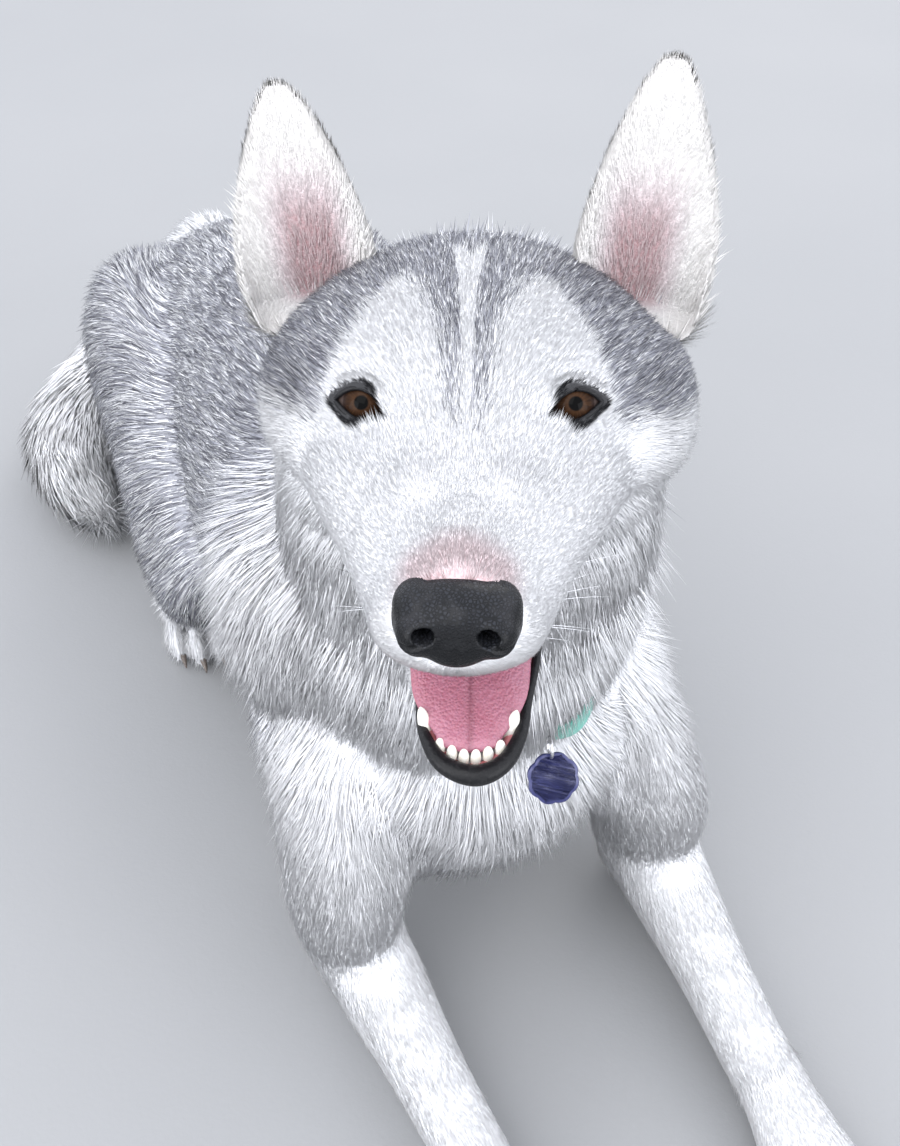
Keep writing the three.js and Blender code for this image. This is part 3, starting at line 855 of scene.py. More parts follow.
@dataclass(frozen=True)
class EyeFinish:
    """A wet brown eye: pupil, streaked iris, dark ring and a shadowed white."""

    name: str
    centre: tuple[float, float, float]
    gaze: tuple[float, float, float]
    iris: float = 6.4
    pupil: float = 2.4

    def material(self) -> bpy.types.Material:
        """Make the material."""
        desk = Desk(self.name)
        off = desk.vector("SUBTRACT", desk.place(), self.centre)
        turn = desk.vector("CROSS_PRODUCT", off, self.gaze)
        reach = desk.vector("LENGTH", turn, out=1) / MM
        front = desk.vector("DOT_PRODUCT", off, self.gaze, out=1)
        ray = desk.vector("NORMALIZE", turn)
        streak = desk.wire("ShaderNodeTexNoise", {}, {"Vector": ray, "Scale": 9.0, "Detail": 5.0})
        inner = (reach - self.pupil).step(0.3, 2.3)
        iris = desk.mix(inner, (0.034, 0.016, 0.008), (0.016, 0.008, 0.005))
        iris = desk.mix(streak.step(0.35, 0.7) * 0.45, iris, (0.058, 0.028, 0.013))
        ring = reach.step(self.iris - 1.5, self.iris - 0.1)
        iris = desk.mix(ring, iris, (0.02, 0.012, 0.01))
        pupil = reach.step(self.pupil - 0.35, self.pupil + 0.35)
        colour = desk.mix(pupil, (0.001, 0.001, 0.001), iris)
        white = desk.mix(desk.noise(2.2, 4).step(0.5, 0.75) * 0.5, (0.055, 0.04, 0.036), (0.07, 0.03, 0.026))
        outside = reach.step(self.iris - 0.05, self.iris + 0.5).most((front / MM).step(0.5, -0.5))
        colour = desk.mix(outside, colour, white)
        return desk.finish(base_color=colour, roughness=0.7, coat_weight=0.12, coat_roughness=0.02,
                           specular_ior_level=0.0)


class Bare(Enum):
    """The bare and made surfaces."""

    NOSE = "nose_leather"
    LIP = "lip_skin"
    MOUTH = "mouth_lining"
    TONGUE = "tongue_flesh"
    TOOTH = "tooth_enamel"
    CLAW = "claw_horn"
    WHISKER = "whisker_hair"
    WEB = "collar_web"
    ENAMEL = "tag_enamel"
    STEEL = "ring_steel"
    FLOOR = "floor_paper"

    def material(self) -> bpy.types.Material:
        """Make the material."""
        desk = Desk(self.value)
        return MOTTLED[self].on(desk) if self in MOTTLED else DETAILED[self](desk)


class Mottled:
    """A surface mottled between two colours, with a fine grain."""

    def __init__(self, blots: Row, step: tuple[float, float] | None, colours: tuple[Colour, Colour],
                 rough: tuple[float, float], depth: float, grain: Row | None = None,
                 **sockets: float) -> None:
        """Keep what the surface is made of.

        Args:
            blots: The size, detail and roughness of the blots.
            step: The values between which one colour gives way to the other.
            colours: The two colours.
            rough: The roughness, and how much the blots add to it.
            depth: The depth of the grain, in millimetres.
            grain: The grain's own size and detail, where it doesn't follow the blots.
            sockets: The shader's other sockets.
        """
        self.blots, self.step, self.colours = blots, step, colours
        self.rough, self.depth, self.grain, self.sockets = rough, depth, grain, sockets

    def on(self, desk: Desk) -> bpy.types.Material:
        """Lay the surface out on a material's desk."""
        blots = desk.noise(*self.blots)
        colour = desk.mix(blots.step(*self.step) if self.step else blots, *self.colours)
        base, swing = self.rough
        grain = desk.noise(*self.grain) if self.grain else blots
        return desk.finish(base_color=colour, roughness=blots * swing + base if swing else base,
                           normal=desk.bump(grain, self.depth), **self.sockets)


MOTTLED = {
    Bare.LIP: Mottled(
        (1.6, 4, 0.65), (0.5, 0.8), ((0.004, 0.004, 0.005), (0.018, 0.017, 0.019)), (0.42, 0), 0.5,
        coat_weight=0.1, coat_roughness=0.25, specular_ior_level=0.2),
    Bare.MOUTH: Mottled(
        (4, 4, 0.6), (0.35, 0.7), ((0.42, 0.12, 0.13), (0.62, 0.25, 0.26)), (0.3, 0), 0.5,
        coat_weight=0.6, coat_roughness=0.15, subsurface_weight=0.1),
    Bare.TOOTH: Mottled(
        (3, 3), (0.3, 0.75), ((0.80, 0.75, 0.64), (0.87, 0.86, 0.82)), (0.22, 0), 0.08, (1.2, 3),
        coat_weight=0.5, coat_roughness=0.1),
    Bare.CLAW: Mottled(
        (1.0, 4, 0.7), (0.35, 0.7), ((0.055, 0.042, 0.036), (0.20, 0.165, 0.14)), (0.38, 0), 0.15),
    Bare.ENAMEL: Mottled(
        (0.7, 5, 0.7), (0.5, 0.85), ((0.022, 0.026, 0.11), (0.05, 0.055, 0.19)), (0.25, 0.2), 0.06,
        metallic=0.15, coat_weight=0.5, coat_roughness=0.2),
    Bare.STEEL: Mottled(
        (0.6, 4, 0.7), None, ((0.52, 0.52, 0.53), (0.68, 0.68, 0.69)), (0.2, 0.15), 0.04, metallic=1.0),
    Bare.FLOOR: Mottled(
        (400, 2), None, ((0.27, 0.275, 0.28), (0.30, 0.303, 0.307)), (0.85, 0), 0.15, (3, 3),
        specular_ior_level=0.2),
}


def nose_leather(desk: Desk) -> bpy.types.Material:
    """Pebbled black leather, with a painted grey sheen where it faces up."""
    cells = desk.wire("ShaderNodeTexVoronoi", {"feature": "DISTANCE_TO_EDGE"},
                      {"Vector": desk.place(), "Scale": 1 / (1.15 * MM)})
    pebble = cells.step(0.02, 0.28)
    # painted sheen: the leather is painted greyer where it faces up, as if lit from above
    painted_sheen = desk.wire("ShaderNodeSeparateXYZ", {}, {0: desk.normal()}, 2).step(0.35, 0.9)
    colour = desk.mix(pebble * painted_sheen, (0.0035, 0.004, 0.005), (0.017, 0.019, 0.024))
    # blotches of painted sheen on the top
    colour = desk.mix(desk.noise(7, 3).step(0.45, 0.75) * painted_sheen * 0.5, colour, (0.03, 0.03, 0.033))
    height = pebble + desk.noise(0.5, 3) * 0.4
    return desk.finish(base_color=colour, roughness=0.5 - pebble * 0.1, normal=desk.bump(height, 0.28),
                       specular_ior_level=0.12, coat_weight=0.15, coat_roughness=0.2)


def tongue_flesh(desk: Desk) -> bpy.types.Material:
    """A damp tongue covered with fine bumps."""
    dots = desk.wire("ShaderNodeTexVoronoi", {}, {"Vector": desk.place(), "Scale": 1 / (1.0 * MM)}, 0)
    blots = desk.noise(9, 4, 0.6)
    colour = desk.mix(blots.step(0.35, 0.7), (0.29, 0.095, 0.135), (0.34, 0.13, 0.18))
    colour = desk.mix(dots.step(0.2, 0.7) * 0.35, colour, (0.38, 0.13, 0.18))
    # painted shade: darker along the tongue's middle groove
    colour = desk.mix(desk.attribute("groove") * 0.75, colour, (0.22, 0.07, 0.10))
    return desk.finish(base_color=colour, roughness=0.42, normal=desk.bump(1 - dots, 0.35),
                       coat_weight=0.25, coat_roughness=0.3, subsurface_weight=0.08)


def whisker_hair(desk: Desk) -> bpy.types.Material:
    """Stiff hair: most are white, a few are dark."""
    colour = desk.mix(desk.attribute("dark"), (0.85, 0.86, 0.88), (0.03, 0.03, 0.03))
    return desk.finish(base_color=colour, roughness=0.35)


def collar_web(desk: Desk) -> bpy.types.Material:
    """Woven teal webbing with a ribbed weave."""
    uv = desk.wire("ShaderNodeUVMap", {"uv_map": "weave"}, {})
    split = desk.node("ShaderNodeSeparateXYZ", {}, {0: uv})
    u, v = Wire(desk, split.outputs[0]), Wire(desk, split.outputs[1])
    weave = (u * math.tau).sine() * (v * math.tau + u * math.pi).sine() * 0.5 + 0.5
    colour = desk.mix(weave, (0.035, 0.27, 0.21), (0.10, 0.46, 0.37))
    colour = desk.mix(desk.noise(5, 3).step(0.4, 0.8) * 0.4, colour, (0.16, 0.52, 0.44))
    return desk.finish(base_color=colour, roughness=0.62, normal=desk.bump(weave, 0.25),
                       sheen_weight=0.3)


DETAILED = {
    Bare.NOSE: nose_leather, Bare.TONGUE: tongue_flesh, Bare.WHISKER: whisker_hair, Bare.WEB: collar_web,
}


# ---------------------------------------------------------------- the dog's skin


CHEST = 107.0
LONG = 590.0
DEEP = 312.0
NECK_HALF = 88.0
SKULL_HALF = 78.0
MUZZLE_HALF = 28.0
BRUSH = 46.0
ELBOW = {"left": (108, -16, 50), "right": (-82, -18, 50)}
WRIST = {"left": (105, -180, 29), "right": (-58, -188, 29)}
FOREPAW_TURN = {"left": 3, "right": -11}


def between(a: float, b: float, t: float) -> float:
    """Go a share of the way from one number to another."""
    return a + (b - a) * t


@dataclass(frozen=True)
class Paw:
    """One paw pointing along -Y of its own frame: heel, pad, toes and claws."""

    heel: float
    width: float
    place: Array
    depth: float = 1.7

    def toes(self) -> list[tuple[float, float]]:
        """Give each toe's side and reach: the two middle toes reach farther."""
        shares = ((-0.36, -52), (-0.13, -62), (0.13, -62), (0.36, -52))
        return [(share * self.width, reach) for share, reach in shares]

    def rows(self) -> Sweep:
        """Give the stations of the heel and the pad."""
        w = self.width
        rows = (
            (0, self.heel, 24, 19, 20, 26, 12),
            (0, self.heel - 30, 21, 22, 20, 24),
            (0, -18, 16, 0.46 * w, 20, 20),
            (0, -42, 12, 0.44 * w, 16, 16, 12),
        )
        return Sweep(rows, self.place, depths=(self.depth,))

    def shapes(self) -> list[Shape]:
        """Build the paw's flesh."""
        made = [self.rows().body(28, 24)]
        for x, reach in self.toes():
            halves = (0.155 * self.width - 1.2, 17.5, 13.5)
            made.append(ball((x, reach, 13), halves, self.place))
            made.append(ball((x, reach - 9, 11), (halves[0] - 1.6, 9.5, 9.5), self.place))
        return made

    def claws(self) -> list[Shape]:
        """Build the claws, curved down to the floor side."""
        made = []
        for x, reach in self.toes():
            t = np.linspace(0, 1, 9)
            path = np.column_stack([np.full(9, x), reach - 12 - 14.5 * t, 11.5 + 2 * t - 6.5 * t**2])
            made.append(tube(carried(self.place, path), 3.0 * (1 - t) ** 0.7 + 0.3, 10))
        return made


@dataclass
class Skin:
    """The dog's skin, in one surface from the nose to the tail."""

    head_depths: tuple[float, ...] = (6, 5, 3.6, 2.8, 2.2, 1.8, 1.4, 1.2)
    voxel_head: float = 2.2
    voxel_body: float = 5.6
    voxel_paw: float = 1.9
    mesh: bpy.types.Mesh | None = None
    sweeps: dict[str, Sweep] = field(default_factory=dict)
    paws: dict[str, Paw] = field(default_factory=dict)

    def __post_init__(self) -> None:
        """Lay out every part of the body."""
        trunk = (
            (-0.08, 0.6, 0.62, 0.2, 0.2, 34), (0, 0.56, 0.85, 0.37, 0.37),
            (0.12, 0.53, 0.97, 0.47, 0.48), (0.27, 0.53, 1, 0.46, 0.54),
            (0.44, 0.53, 0.94, 0.42, 0.5), (0.6, 0.51, 0.83, 0.37, 0.41),
            (0.75, 0.5, 0.8, 0.31, 0.33), (0.86, 0.5, 0.68, 0.21, 0.24, 36),
        )
        rows = tuple((0, y * LONG, z * DEEP, wide * CHEST, over * DEEP, under * DEEP, *cap)
                     for y, z, wide, over, under, *cap in trunk)
        self.sweeps["trunk"] = Sweep(rows, TRUNK_FRAME, depths=(4, 4, 4, 4.5, 5, 5, 5, 5))
        self.sweeps["neck"] = Sweep((
            (-22, 196, 214, 1.06 * NECK_HALF, 84, 84),
            (0, 142, 262, 1.08 * NECK_HALF, 104, 104),
            (8, 106, 330, 0.98 * NECK_HALF, 84, 90),
            (10, 82, 398, 0.88 * NECK_HALF, 68, 76),
            (11, 72, 440, 0.72 * NECK_HALF, 50, 58, 14),
        ), np.eye(4), AHEAD, depths=(2, 1, 0.5, 1, 3))
        self.sweeps["head"] = Sweep((
            (0, 108, -12, 0.66 * SKULL_HALF, 38, 46, 22),
            (0, 80, -8, 0.87 * SKULL_HALF, 48, 58),
            (0, 45, -8, SKULL_HALF, 47, 60),
            (0, 15, -12, 0.9 * SKULL_HALF, 45, 56),
            (0, -8, -19, 0.57 * SKULL_HALF, 33, 43),
            (0, -30, -28, 1.36 * MUZZLE_HALF, 25, 33),
            (0, -60, -35, 1.1 * MUZZLE_HALF, 21, 24),
            (0, -80, -38, MUZZLE_HALF, 18, 19, 12),
        ), FACE_FRAME, depths=self.head_depths)
        self.sweeps["jaw"] = Sweep((
            (0, 46, -54, 0.58 * SKULL_HALF, 18, 20),
            (1, 10, -65, 0.46 * SKULL_HALF, 15, 17),
            (2, -25, -78, 0.33 * SKULL_HALF, 10, 14),
            (4, -52, -89, 0.24 * SKULL_HALF, 7, 10),
            (5, -66, -95, 0.18 * SKULL_HALF, 6, 7, 10),
        ), FACE_FRAME, depths=(5, 4, 2.2, 1.2, 1.0))
        for name, s in SIDES.items():
            self._limbs(name, s)
        self.sweeps["tail"] = Sweep(tuple(
            (x, y, z, a * BRUSH, b * BRUSH, c * BRUSH, *rest) for x, y, z, a, b, c, *rest in (
                (0, 510, 176, 0.38, 0.38, 0.38),
                (-6, 556, 172, 0.50, 0.50, 0.50),
                (-40, 592, 112, 0.62, 0.62, 0.62),
                (-104, 582, 56, 0.72, 0.72, 0.72),
                (-146, 530, 43, 0.74, 0.74, 0.74),
                (-156, 468, 40, 0.62, 0.62, 0.64),
                (-148, 430, 34, 0.36, 0.36, 0.44, 10),
            )), TRUNK_FRAME, depths=(0.0,))

    def _limbs(self, name: str, s: int) -> None:
        """Lay out the limbs of one side."""
        ex, ey, ez = ELBOW[name]
        wx, wy, wz = WRIST[name]
        self.sweeps[f"shoulder_{name}"] = Sweep((
            (s * 60, 100, 256, 34, 26, 26, 20),
            (s * 74, 44, 210, 48, 34, 34),
            (s * 80, -22, 158, 54, 36, 36),
            (0.6 * ex + s * 35, -36, 104, 46, 35, 35),
            (ex, ey, ez, 35, 31, 31, 26),
        ), TRUNK_FRAME, ACROSS, depths=(3, 3, 3, 3, 3))
        self.sweeps[f"forearm_{name}"] = Sweep((
            (ex, ey, ez, 31, 34, 50, 26),
            (between(ex, wx, 0.3), between(ey, wy, 0.3), between(ez, wz, 0.2), 27, 29, 45),
            (between(ex, wx, 0.65), between(ey, wy, 0.65), between(ez, wz, 0.6), 22, 23, 38),
            (wx, wy, wz, 21, 20, 32, 26),
        ), TRUNK_FRAME, depths=(3, 2.6, 2.2, 1.8))
        self.sweeps[f"thigh_{name}"] = Sweep((
            (s * 66, 530, 146, 48, 54, 66, 30),
            (s * 80, 462, 142, 54, 82, 92),
            (s * 88, 366, 118, 48, 82, 84),
            (s * 97, 296, 86, 40, 60, 58),
            (s * 97, 258, 70, 34, 42, 46, 24),
        ), TRUNK_FRAME, depths=(6, 6, 5.5, 4.5, 4))
        self.sweeps[f"shank_{name}"] = Sweep((
            (s * 94, 282, 52, 30, 32, 60),
            (s * 98, 350, 46, 27, 30, 60),
            (s * 100, 420, 40, 23, 26, 60),
            (s * 99, 462, 32, 18, 22, 50, 14),
        ), TRUNK_FRAME, depths=(3, 2.5, 2, 2))
        wrist = TRUNK_FRAME @ moved(wx, wy - 42, 0) @ turned("Z", -FOREPAW_TURN[name])
        self.paws[f"forepaw_{name}"] = Paw(46, 62, wrist)
        self.paws[f"hindpaw_{name}"] = Paw(132, 56, TRUNK_FRAME @ moved(s * 99, 328, 0))

    def _head_shapes(self) -> list[Shape]:
        """Build the skull, the muzzle and the forms that the coat is too short to hide."""
        shapes = [self.sweeps["head"].body(56, 56), self.sweeps["jaw"].body(40, 40)]
        upper_neck = Sweep(self.sweeps["neck"].rows[2:], np.eye(4), AHEAD, depths=(0.5, 1, 3))
        shapes.append(upper_neck.body(48, 32))
        for s in SIDES.values():
            shapes += [
                ball((s * 14, -64, -45), (14.5, 19, 12.5), FACE_FRAME),
                ball((s * 31, 6, 13), (15, 10, 9), FACE_FRAME, s * 12),
                ball((s * 50, 22, -20), (15, 26, 20), FACE_FRAME),
                ball((s * 44, 42, -42), (24, 30, 24), FACE_FRAME),
                ball(eye_spot(s), (EYE_RADIUS + 1.7,) * 3, FACE_FRAME),
                Sweep((
                    (s * 44, 34, -26, 20, 24, 26, 14), (s * 38, 6, -24, 20, 21, 21),
                    (s * 31, -20, -27, 17.5, 18, 18), (s * 24, -42, -32, 14.5, 15.5, 16),
                    (s * 17.5, -64, -39, 12.5, 13, 13.5, 10),
                ), FACE_FRAME).body(32, 28),
                ball((s * 13, -22, -12), (13, 26, 11), FACE_FRAME),
            ]
        for centre, halves in (
            ((4.5, -62, -97), (11.5, 11, 6.5)), ((62, 34, -12), (18, 32, 27)),
            ((-60, 36, -12), (15, 30, 25)), ((0, -40, -18), (15, 42, 9)), ((0, -80, -43), (19, 12, 8.5)),
        ):
            shapes.append(ball(centre, halves, FACE_FRAME))
        return shapes

    def build(self) -> None:
        """Build the whole skin: a fine head and paws joined to a coarser body."""
        head = fused(self._head_shapes(), self.voxel_head, 24)
        tools = [EYE_LIDS.slit(s) for s in SIDES.values()]
        tools += [ball(*hollow, FACE_FRAME) for hollow in (NOSE_BED, PALATE, MOUTH_FLOOR)]
        head = carved(head, tools, Carve.CUT)
        keys = [k for k in self.sweeps if k not in ("head", "jaw")]
        ruff = ball((-80, 126, 266), (36, 56, 72), np.eye(4))
        body = fused([ruff, *(self.sweeps[k].body(48, 40) for k in keys)], self.voxel_body, 11)
        for part in [head, *(fused(paw.shapes(), self.voxel_paw, 3) for paw in self.paws.values())]:
            body = carved(body, [shape_of(part)], Carve.JOIN)
        self.mesh = smoothed(finished(body, "TRIANGULATE"), 0)


@dataclass
class Guides:
    """Hairs that lead the coat: their places, ways, lengths, lifts and regions."""

    spots: list[Array] = field(default_factory=list)
    facing: list[Array] = field(default_factory=list)
    ways: list[Array] = field(default_factory=list)
    sizes: list[Array] = field(default_factory=list)
    region: list[Array] = field(default_factory=list)
    batch: int = 4000

    def add(self, spots: Array, facing: Array, ways: Array, sizes: Array, region: int) -> None:
        """Add hairs; the sizes are length, lift in degrees and reach of influence."""
        self.spots.append(spots)
        self.facing.append(facing)
        self.ways.append(unit(ways))
        self.sizes.append(np.broadcast_to(sizes, (len(spots), 3)))
        self.region.append(np.full(len(spots), region))

    def felt(self, spots: Array, normals: Array) -> tuple[Array, Array, Array]:
        """Blend the guides at places on the skin.

        Args:
            spots: The places.
            normals: The skin's normals there.

        Returns:
            The way of the hair, its length and lift, and the region.
        """
        g, f, w, s, r = (np.concatenate(x) for x in
                         (self.spots, self.facing, self.ways, self.sizes, self.region))
        ways, sizes = np.empty_like(spots), np.empty((len(spots), 2))
        regions = np.empty(len(spots), int)
        for start in range(0, len(spots), self.batch):
            part = slice(start, start + self.batch)
            far = ((spots[part, None] - g[None]) ** 2).sum(2) / (2 * s[None, :, 2] ** 2)
            far -= far.min(1, keepdims=True)
            weight = np.exp(-far) * np.clip(normals[part] @ f.T + 0.3, 0.02, 1.3)
            total = weight.sum(1, keepdims=True)
            ways[part] = weight @ w / total
            sizes[part] = weight @ s[:, :2] / total
            share = np.stack([(weight * (r == k)).sum(1) for k in range(r.max() + 1)], 1)
            regions[part] = share.argmax(1)
        ways -= normals * (ways * normals).sum(1, keepdims=True)
        return unit(ways), sizes, regions


class Region(Enum):
    """The coat's regions.

    Each has its number, the hair's width at no length and what each millimetre adds, the layers that
    cover the skin, a slot name, which is not used, and whether a ring bends each tuft.
    """

    FACE = (0, 0.24, 0.028, 3.8, "coat_white")
    NECK = (1, 0.32, 0.019, 4.9, "coat_white")
    TRUNK = (2, 0.40, 0.030, 2.6, "coat_grey")
    SHOULDER = (3, 0.34, 0.023, 3.5, "coat_white")
    FORELEG = (4, 0.40, 0.040, 2.3, "coat_white")
    THIGH = (5, 0.40, 0.028, 2.8, "coat_grey")
    HINDLEG = (6, 0.40, 0.042, 2.0, "coat_white")
    TAIL = (7, 0.40, 0.026, 4.5, "coat_white", True)
    EAR = (8, 0.26, 0.032, 2.8, "coat_cream")

    def __init__(self, number: int, base: float, more: float, layers: float, slot: str,
                 bent: bool = False) -> None:
        """Give the values their names."""
        self.number, self.base, self.more, self.layers = number, base, more, layers
        self.slot, self.bent = slot, bent

    def width(self, length: Array) -> Array:
        """Give the width of tufts of each length."""
        return self.base + self.more * length

    def crowd(self, length: Array) -> Array:
        """Give how many tufts of each length stand on a square millimetre."""
        return self.layers * COAT_SHARE / (0.5 * length * self.width(length))


def lattice(along: int, around: int) -> tuple[Array, Array]:
    """Give evenly spaced shares along a swept part and turns about it."""
    turns = np.linspace(0, 2 * np.pi, around, endpoint=False)
    u, turn = np.meshgrid(np.linspace(0, 1, along), turns)
    return u.ravel(), turn.ravel()


@dataclass
class Coat:
    """The coat: tufts of solid hair over the skin, led by guides."""

    finish: CoatFinish
    seed: int = 20

    def guides(self, skin: Skin) -> Guides:
        """Lay guide hairs over every part of the body.

        Args:
            skin: The laid-out body.

        Returns:
            The guides.
        """
        guides = Guides()
        down = np.array([0, 0, -1.0])

        def over(key: str, steps: tuple[int, int], along: float, drop: float, lengths: Sequence[float],
                 lift: Sequence[float], reach: float, region: Region) -> None:
            """Lay guides over one swept part."""
            u, turn = lattice(*steps)
            spots, facing, ahead = skin.sweeps[key].skin(u, turn)
            sizes = np.stack([np.interp(u, np.linspace(0, 1, len(lengths)), lengths),
                              np.interp(u, np.linspace(0, 1, len(lift)), lift),
                              np.full(len(u), reach)], 1)
            guides.add(spots, facing, along * ahead + drop * down, sizes, region.number)

        for key in ("head", "jaw"):
            self._face(guides, *skin.sweeps[key].skin(*lattice(16, 20))[:2])
        over("neck", (8, 16), -1, 0.5, (34, 38, 36, 30, 22), (8, 9, 9, 9), 22, Region.NECK)
        over("trunk", (12, 16), 1, 0.35, (34, 28, 22, 22, 24, 28), (8, 7, 7, 7), 24, Region.TRUNK)
        over("tail", (10, 8), 1, 0.0, (28, 38, 44, 46, 44, 38), (11, 13, 14, 14, 13), 20, Region.TAIL)
        for name in SIDES:
            over(f"shoulder_{name}", (8, 10), 1, 0.4, (30, 25, 17, 12), (7, 6, 6), 20, Region.SHOULDER)
            over(f"forearm_{name}", (8, 10), 1, 0.0, (14, 12, 10, 8), (7, 7), 14, Region.FORELEG)
            over(f"thigh_{name}", (8, 12), -0.4, 0.8, (38, 28, 22, 18), (9, 7, 7), 20, Region.THIGH)
            over(f"shank_{name}", (6, 8), 0.7, 0.3, (14, 12, 10), (7,), 14, Region.HINDLEG)
        for key, paw in skin.paws.items():
            spots, facing, ahead = paw.rows().skin(*lattice(6, 8))
            region = Region.FORELEG if key.startswith("fore") else Region.HINDLEG
            guides.add(spots, facing, ahead, (8, 7, 10), region.number)
            toes = carried(paw.place, np.array([(x, reach - 8, 20) for x, reach in paw.toes()]))
            way = np.tile(unit(np.array([0, -1.0, -0.5]) @ paw.place[:3, :3].T), (len(toes), 1))
            guides.add(toes, np.tile([0, 0, 1.0], (len(toes), 1)), way, (6.5, 7, 9), region.number)
        return guides

    @staticmethod
    def _face(guides: Guides, spots: Array, facing: Array) -> None:
        """Lay the head's guides: the hair spreads from the nose and fans over the brow."""
        local = seen_from(FACE_FRAME, spots)
        x, y, z = local.T
        from_nose = unit(local - np.array([0, -100.0, -34.0]))
        from_stop = unit(local - np.array([0, -30.0, 2.0]))
        high = (rising(z, 2, 18) * rising(y, -24, 0))[:, None]
        ways = from_nose * (1 - high) + from_stop * high
        ways[:, 2] -= 0.45 * rising(-z, 14, 45) * rising(y, -20, 20)
        length = np.interp(y, [-80, -60, -30, -8, 15, 50, 90, 110], [4.0, 4.6, 6, 7, 8, 9.5, 15, 24])
        length += 10 * rising(y, 14, 48) * rising(-z, 2, 34)
        lift = np.interp(y, [-80, -40, 0, 50, 100], [6.5, 6.5, 7, 7.5, 9]) + 2.5 * rising(-z, 10, 40)
        reach = np.interp(y, [-80, 0, 60], [7, 9, 13])
        guides.add(spots, facing, ways @ FACE_FRAME[:3, :3].T, np.stack([length, lift, reach], 1),
                   Region.FACE.number)

    @staticmethod
    def bare(spots: Array) -> Array:
        """Say how much of the coat stands at a spot: none on the eyes, nose, mouth and soles."""
        x, y, z = face_spots(spots)
        local = np.stack([x, y, z], 1)
        keep = np.ones(len(x))
        for s in SIDES.values():
            near = eye_gap(local, s)
            ball_gap = np.linalg.norm(local - np.array(eye_spot(s)), axis=1)
            keep *= (near > 1.7) & (ball_gap > EYE_RADIUS + 0.6)
        for (centre, halves), margin in ((NOSE_BED, 1.03), (PALATE, 1.03), (MOUTH_FLOOR, 1.1)):
            keep *= np.linalg.norm((local - np.array(centre)) / np.array(halves), axis=1) > margin
        keep *= spots[:, 2] > 4
        return keep

    def grow(self, skin: Skin) -> None:
        """Grow the whole coat in pieces, and mark the skin under it."""
        mesh = skin.mesh
        verts = millimetres(points_of(mesh))
        normals = points_of(mesh, "vertex_normals", "vector")
        ways, sizes, regions = self.guides(skin).felt(verts, normals)
        tilt = sizes[:, 1] - np.degrees(bend_of(mesh, verts, normals, ways) * sizes[:, 0] / 2)
        sizes[:, 1] = np.clip(tilt, 4.5, sizes[:, 1] + 30)
        local = np.stack(face_spots(verts), 1)
        gap = np.minimum(*(eye_gap(local, s) for s in SIDES.values()))
        sizes[:, 0] = np.minimum(sizes[:, 0], 1.8 + 0.6 * gap)
        for mark, values in MARKINGS.at(verts).items():
            set_attribute(mesh, mark, values)
        triangles = corners_of(mesh).reshape(-1, 3)
        rng = np.random.default_rng(self.seed)
        owner = regions[triangles[:, 0]]
        for region in Region:
            chosen = triangles[owner == region.number]
            if not len(chosen):
                continue
            middle = sum(verts[chosen[:, k]] for k in range(3)) / 3
            density = region.crowd(sizes[chosen, 0].mean(1)) * self.bare(middle)
            density *= 1 - 0.6 * rising(22 - middle[:, 2], 0, 14) * (region is not Region.FACE)
            mixed = scattered(verts, chosen, density, rng)
            roots = mixed(verts)
            keep = self.bare(roots) > 0
            hairs = (v[keep] for v in (roots, unit(mixed(normals)), mixed(ways), mixed(sizes)))
            grow_tufts(region, *hairs, rng, self.finish)


def scattered(verts: Array, triangles: Array, density: Array, rng: np.random.Generator) -> Callable:
    """Scatter spots over triangles.

    Args:
        verts: The places of the vertices.
        triangles: The vertices of each triangle.
        density: How many spots each triangle has on a square millimetre.
        rng: The stream of random numbers.

    Returns:
        A function that turns values at the vertices into values at the spots.
    """
    a, b, c = (verts[triangles[:, k]] for k in range(3))
    area = np.linalg.norm(np.cross(b - a, c - a), axis=1) / 2
    total = np.cumsum(area * density)
    count = int(total[-1])
    picks = (np.arange(count) + rng.random(count)) * total[-1] / count
    tri = triangles[np.searchsorted(total, picks).clip(0, len(total) - 1)]
    r = rng.random((count, 2))
    flip = r.sum(1) > 1
    r[flip] = 1 - r[flip]
    share = np.stack([1 - r.sum(1), r[:, 0], r[:, 1]], 1)
    return lambda values: (values[tri] * (share if values.ndim == 1 else share[:, :, None])).sum(1)


def bend_of(mesh: bpy.types.Mesh, verts: Array, normals: Array, ways: Array, rounds: int = 5) -> Array:
    """Measure how the skin bends along the hair, for each millimetre: hollows are negative."""
    ends = np.empty(len(mesh.edges) * 2, int)
    mesh.edges.foreach_get("vertices", ends)
    a, b = ends.reshape(-1, 2).T
    step = verts[b] - verts[a]
    span = np.maximum((step**2).sum(1), 1e-3)
    bend = ((normals[b] - normals[a]) * step).sum(1) / span
    with_hair = ((step * (ways[a] + ways[b]) / 2).sum(1) ** 2 / span) ** 2 + 0.01
    n = len(verts)
    gather = lambda one, other, share: (np.bincount(a, one * share, n) + np.bincount(b, other * share, n)) \
        / np.maximum(np.bincount(a, share, n) + np.bincount(b, share, n), 1e-6)
    value = gather(bend, bend, with_hair)
    for _ in range(rounds):
        value = 0.5 * value + 0.5 * gather(value[b], value[a], np.ones(len(a)))
    return value


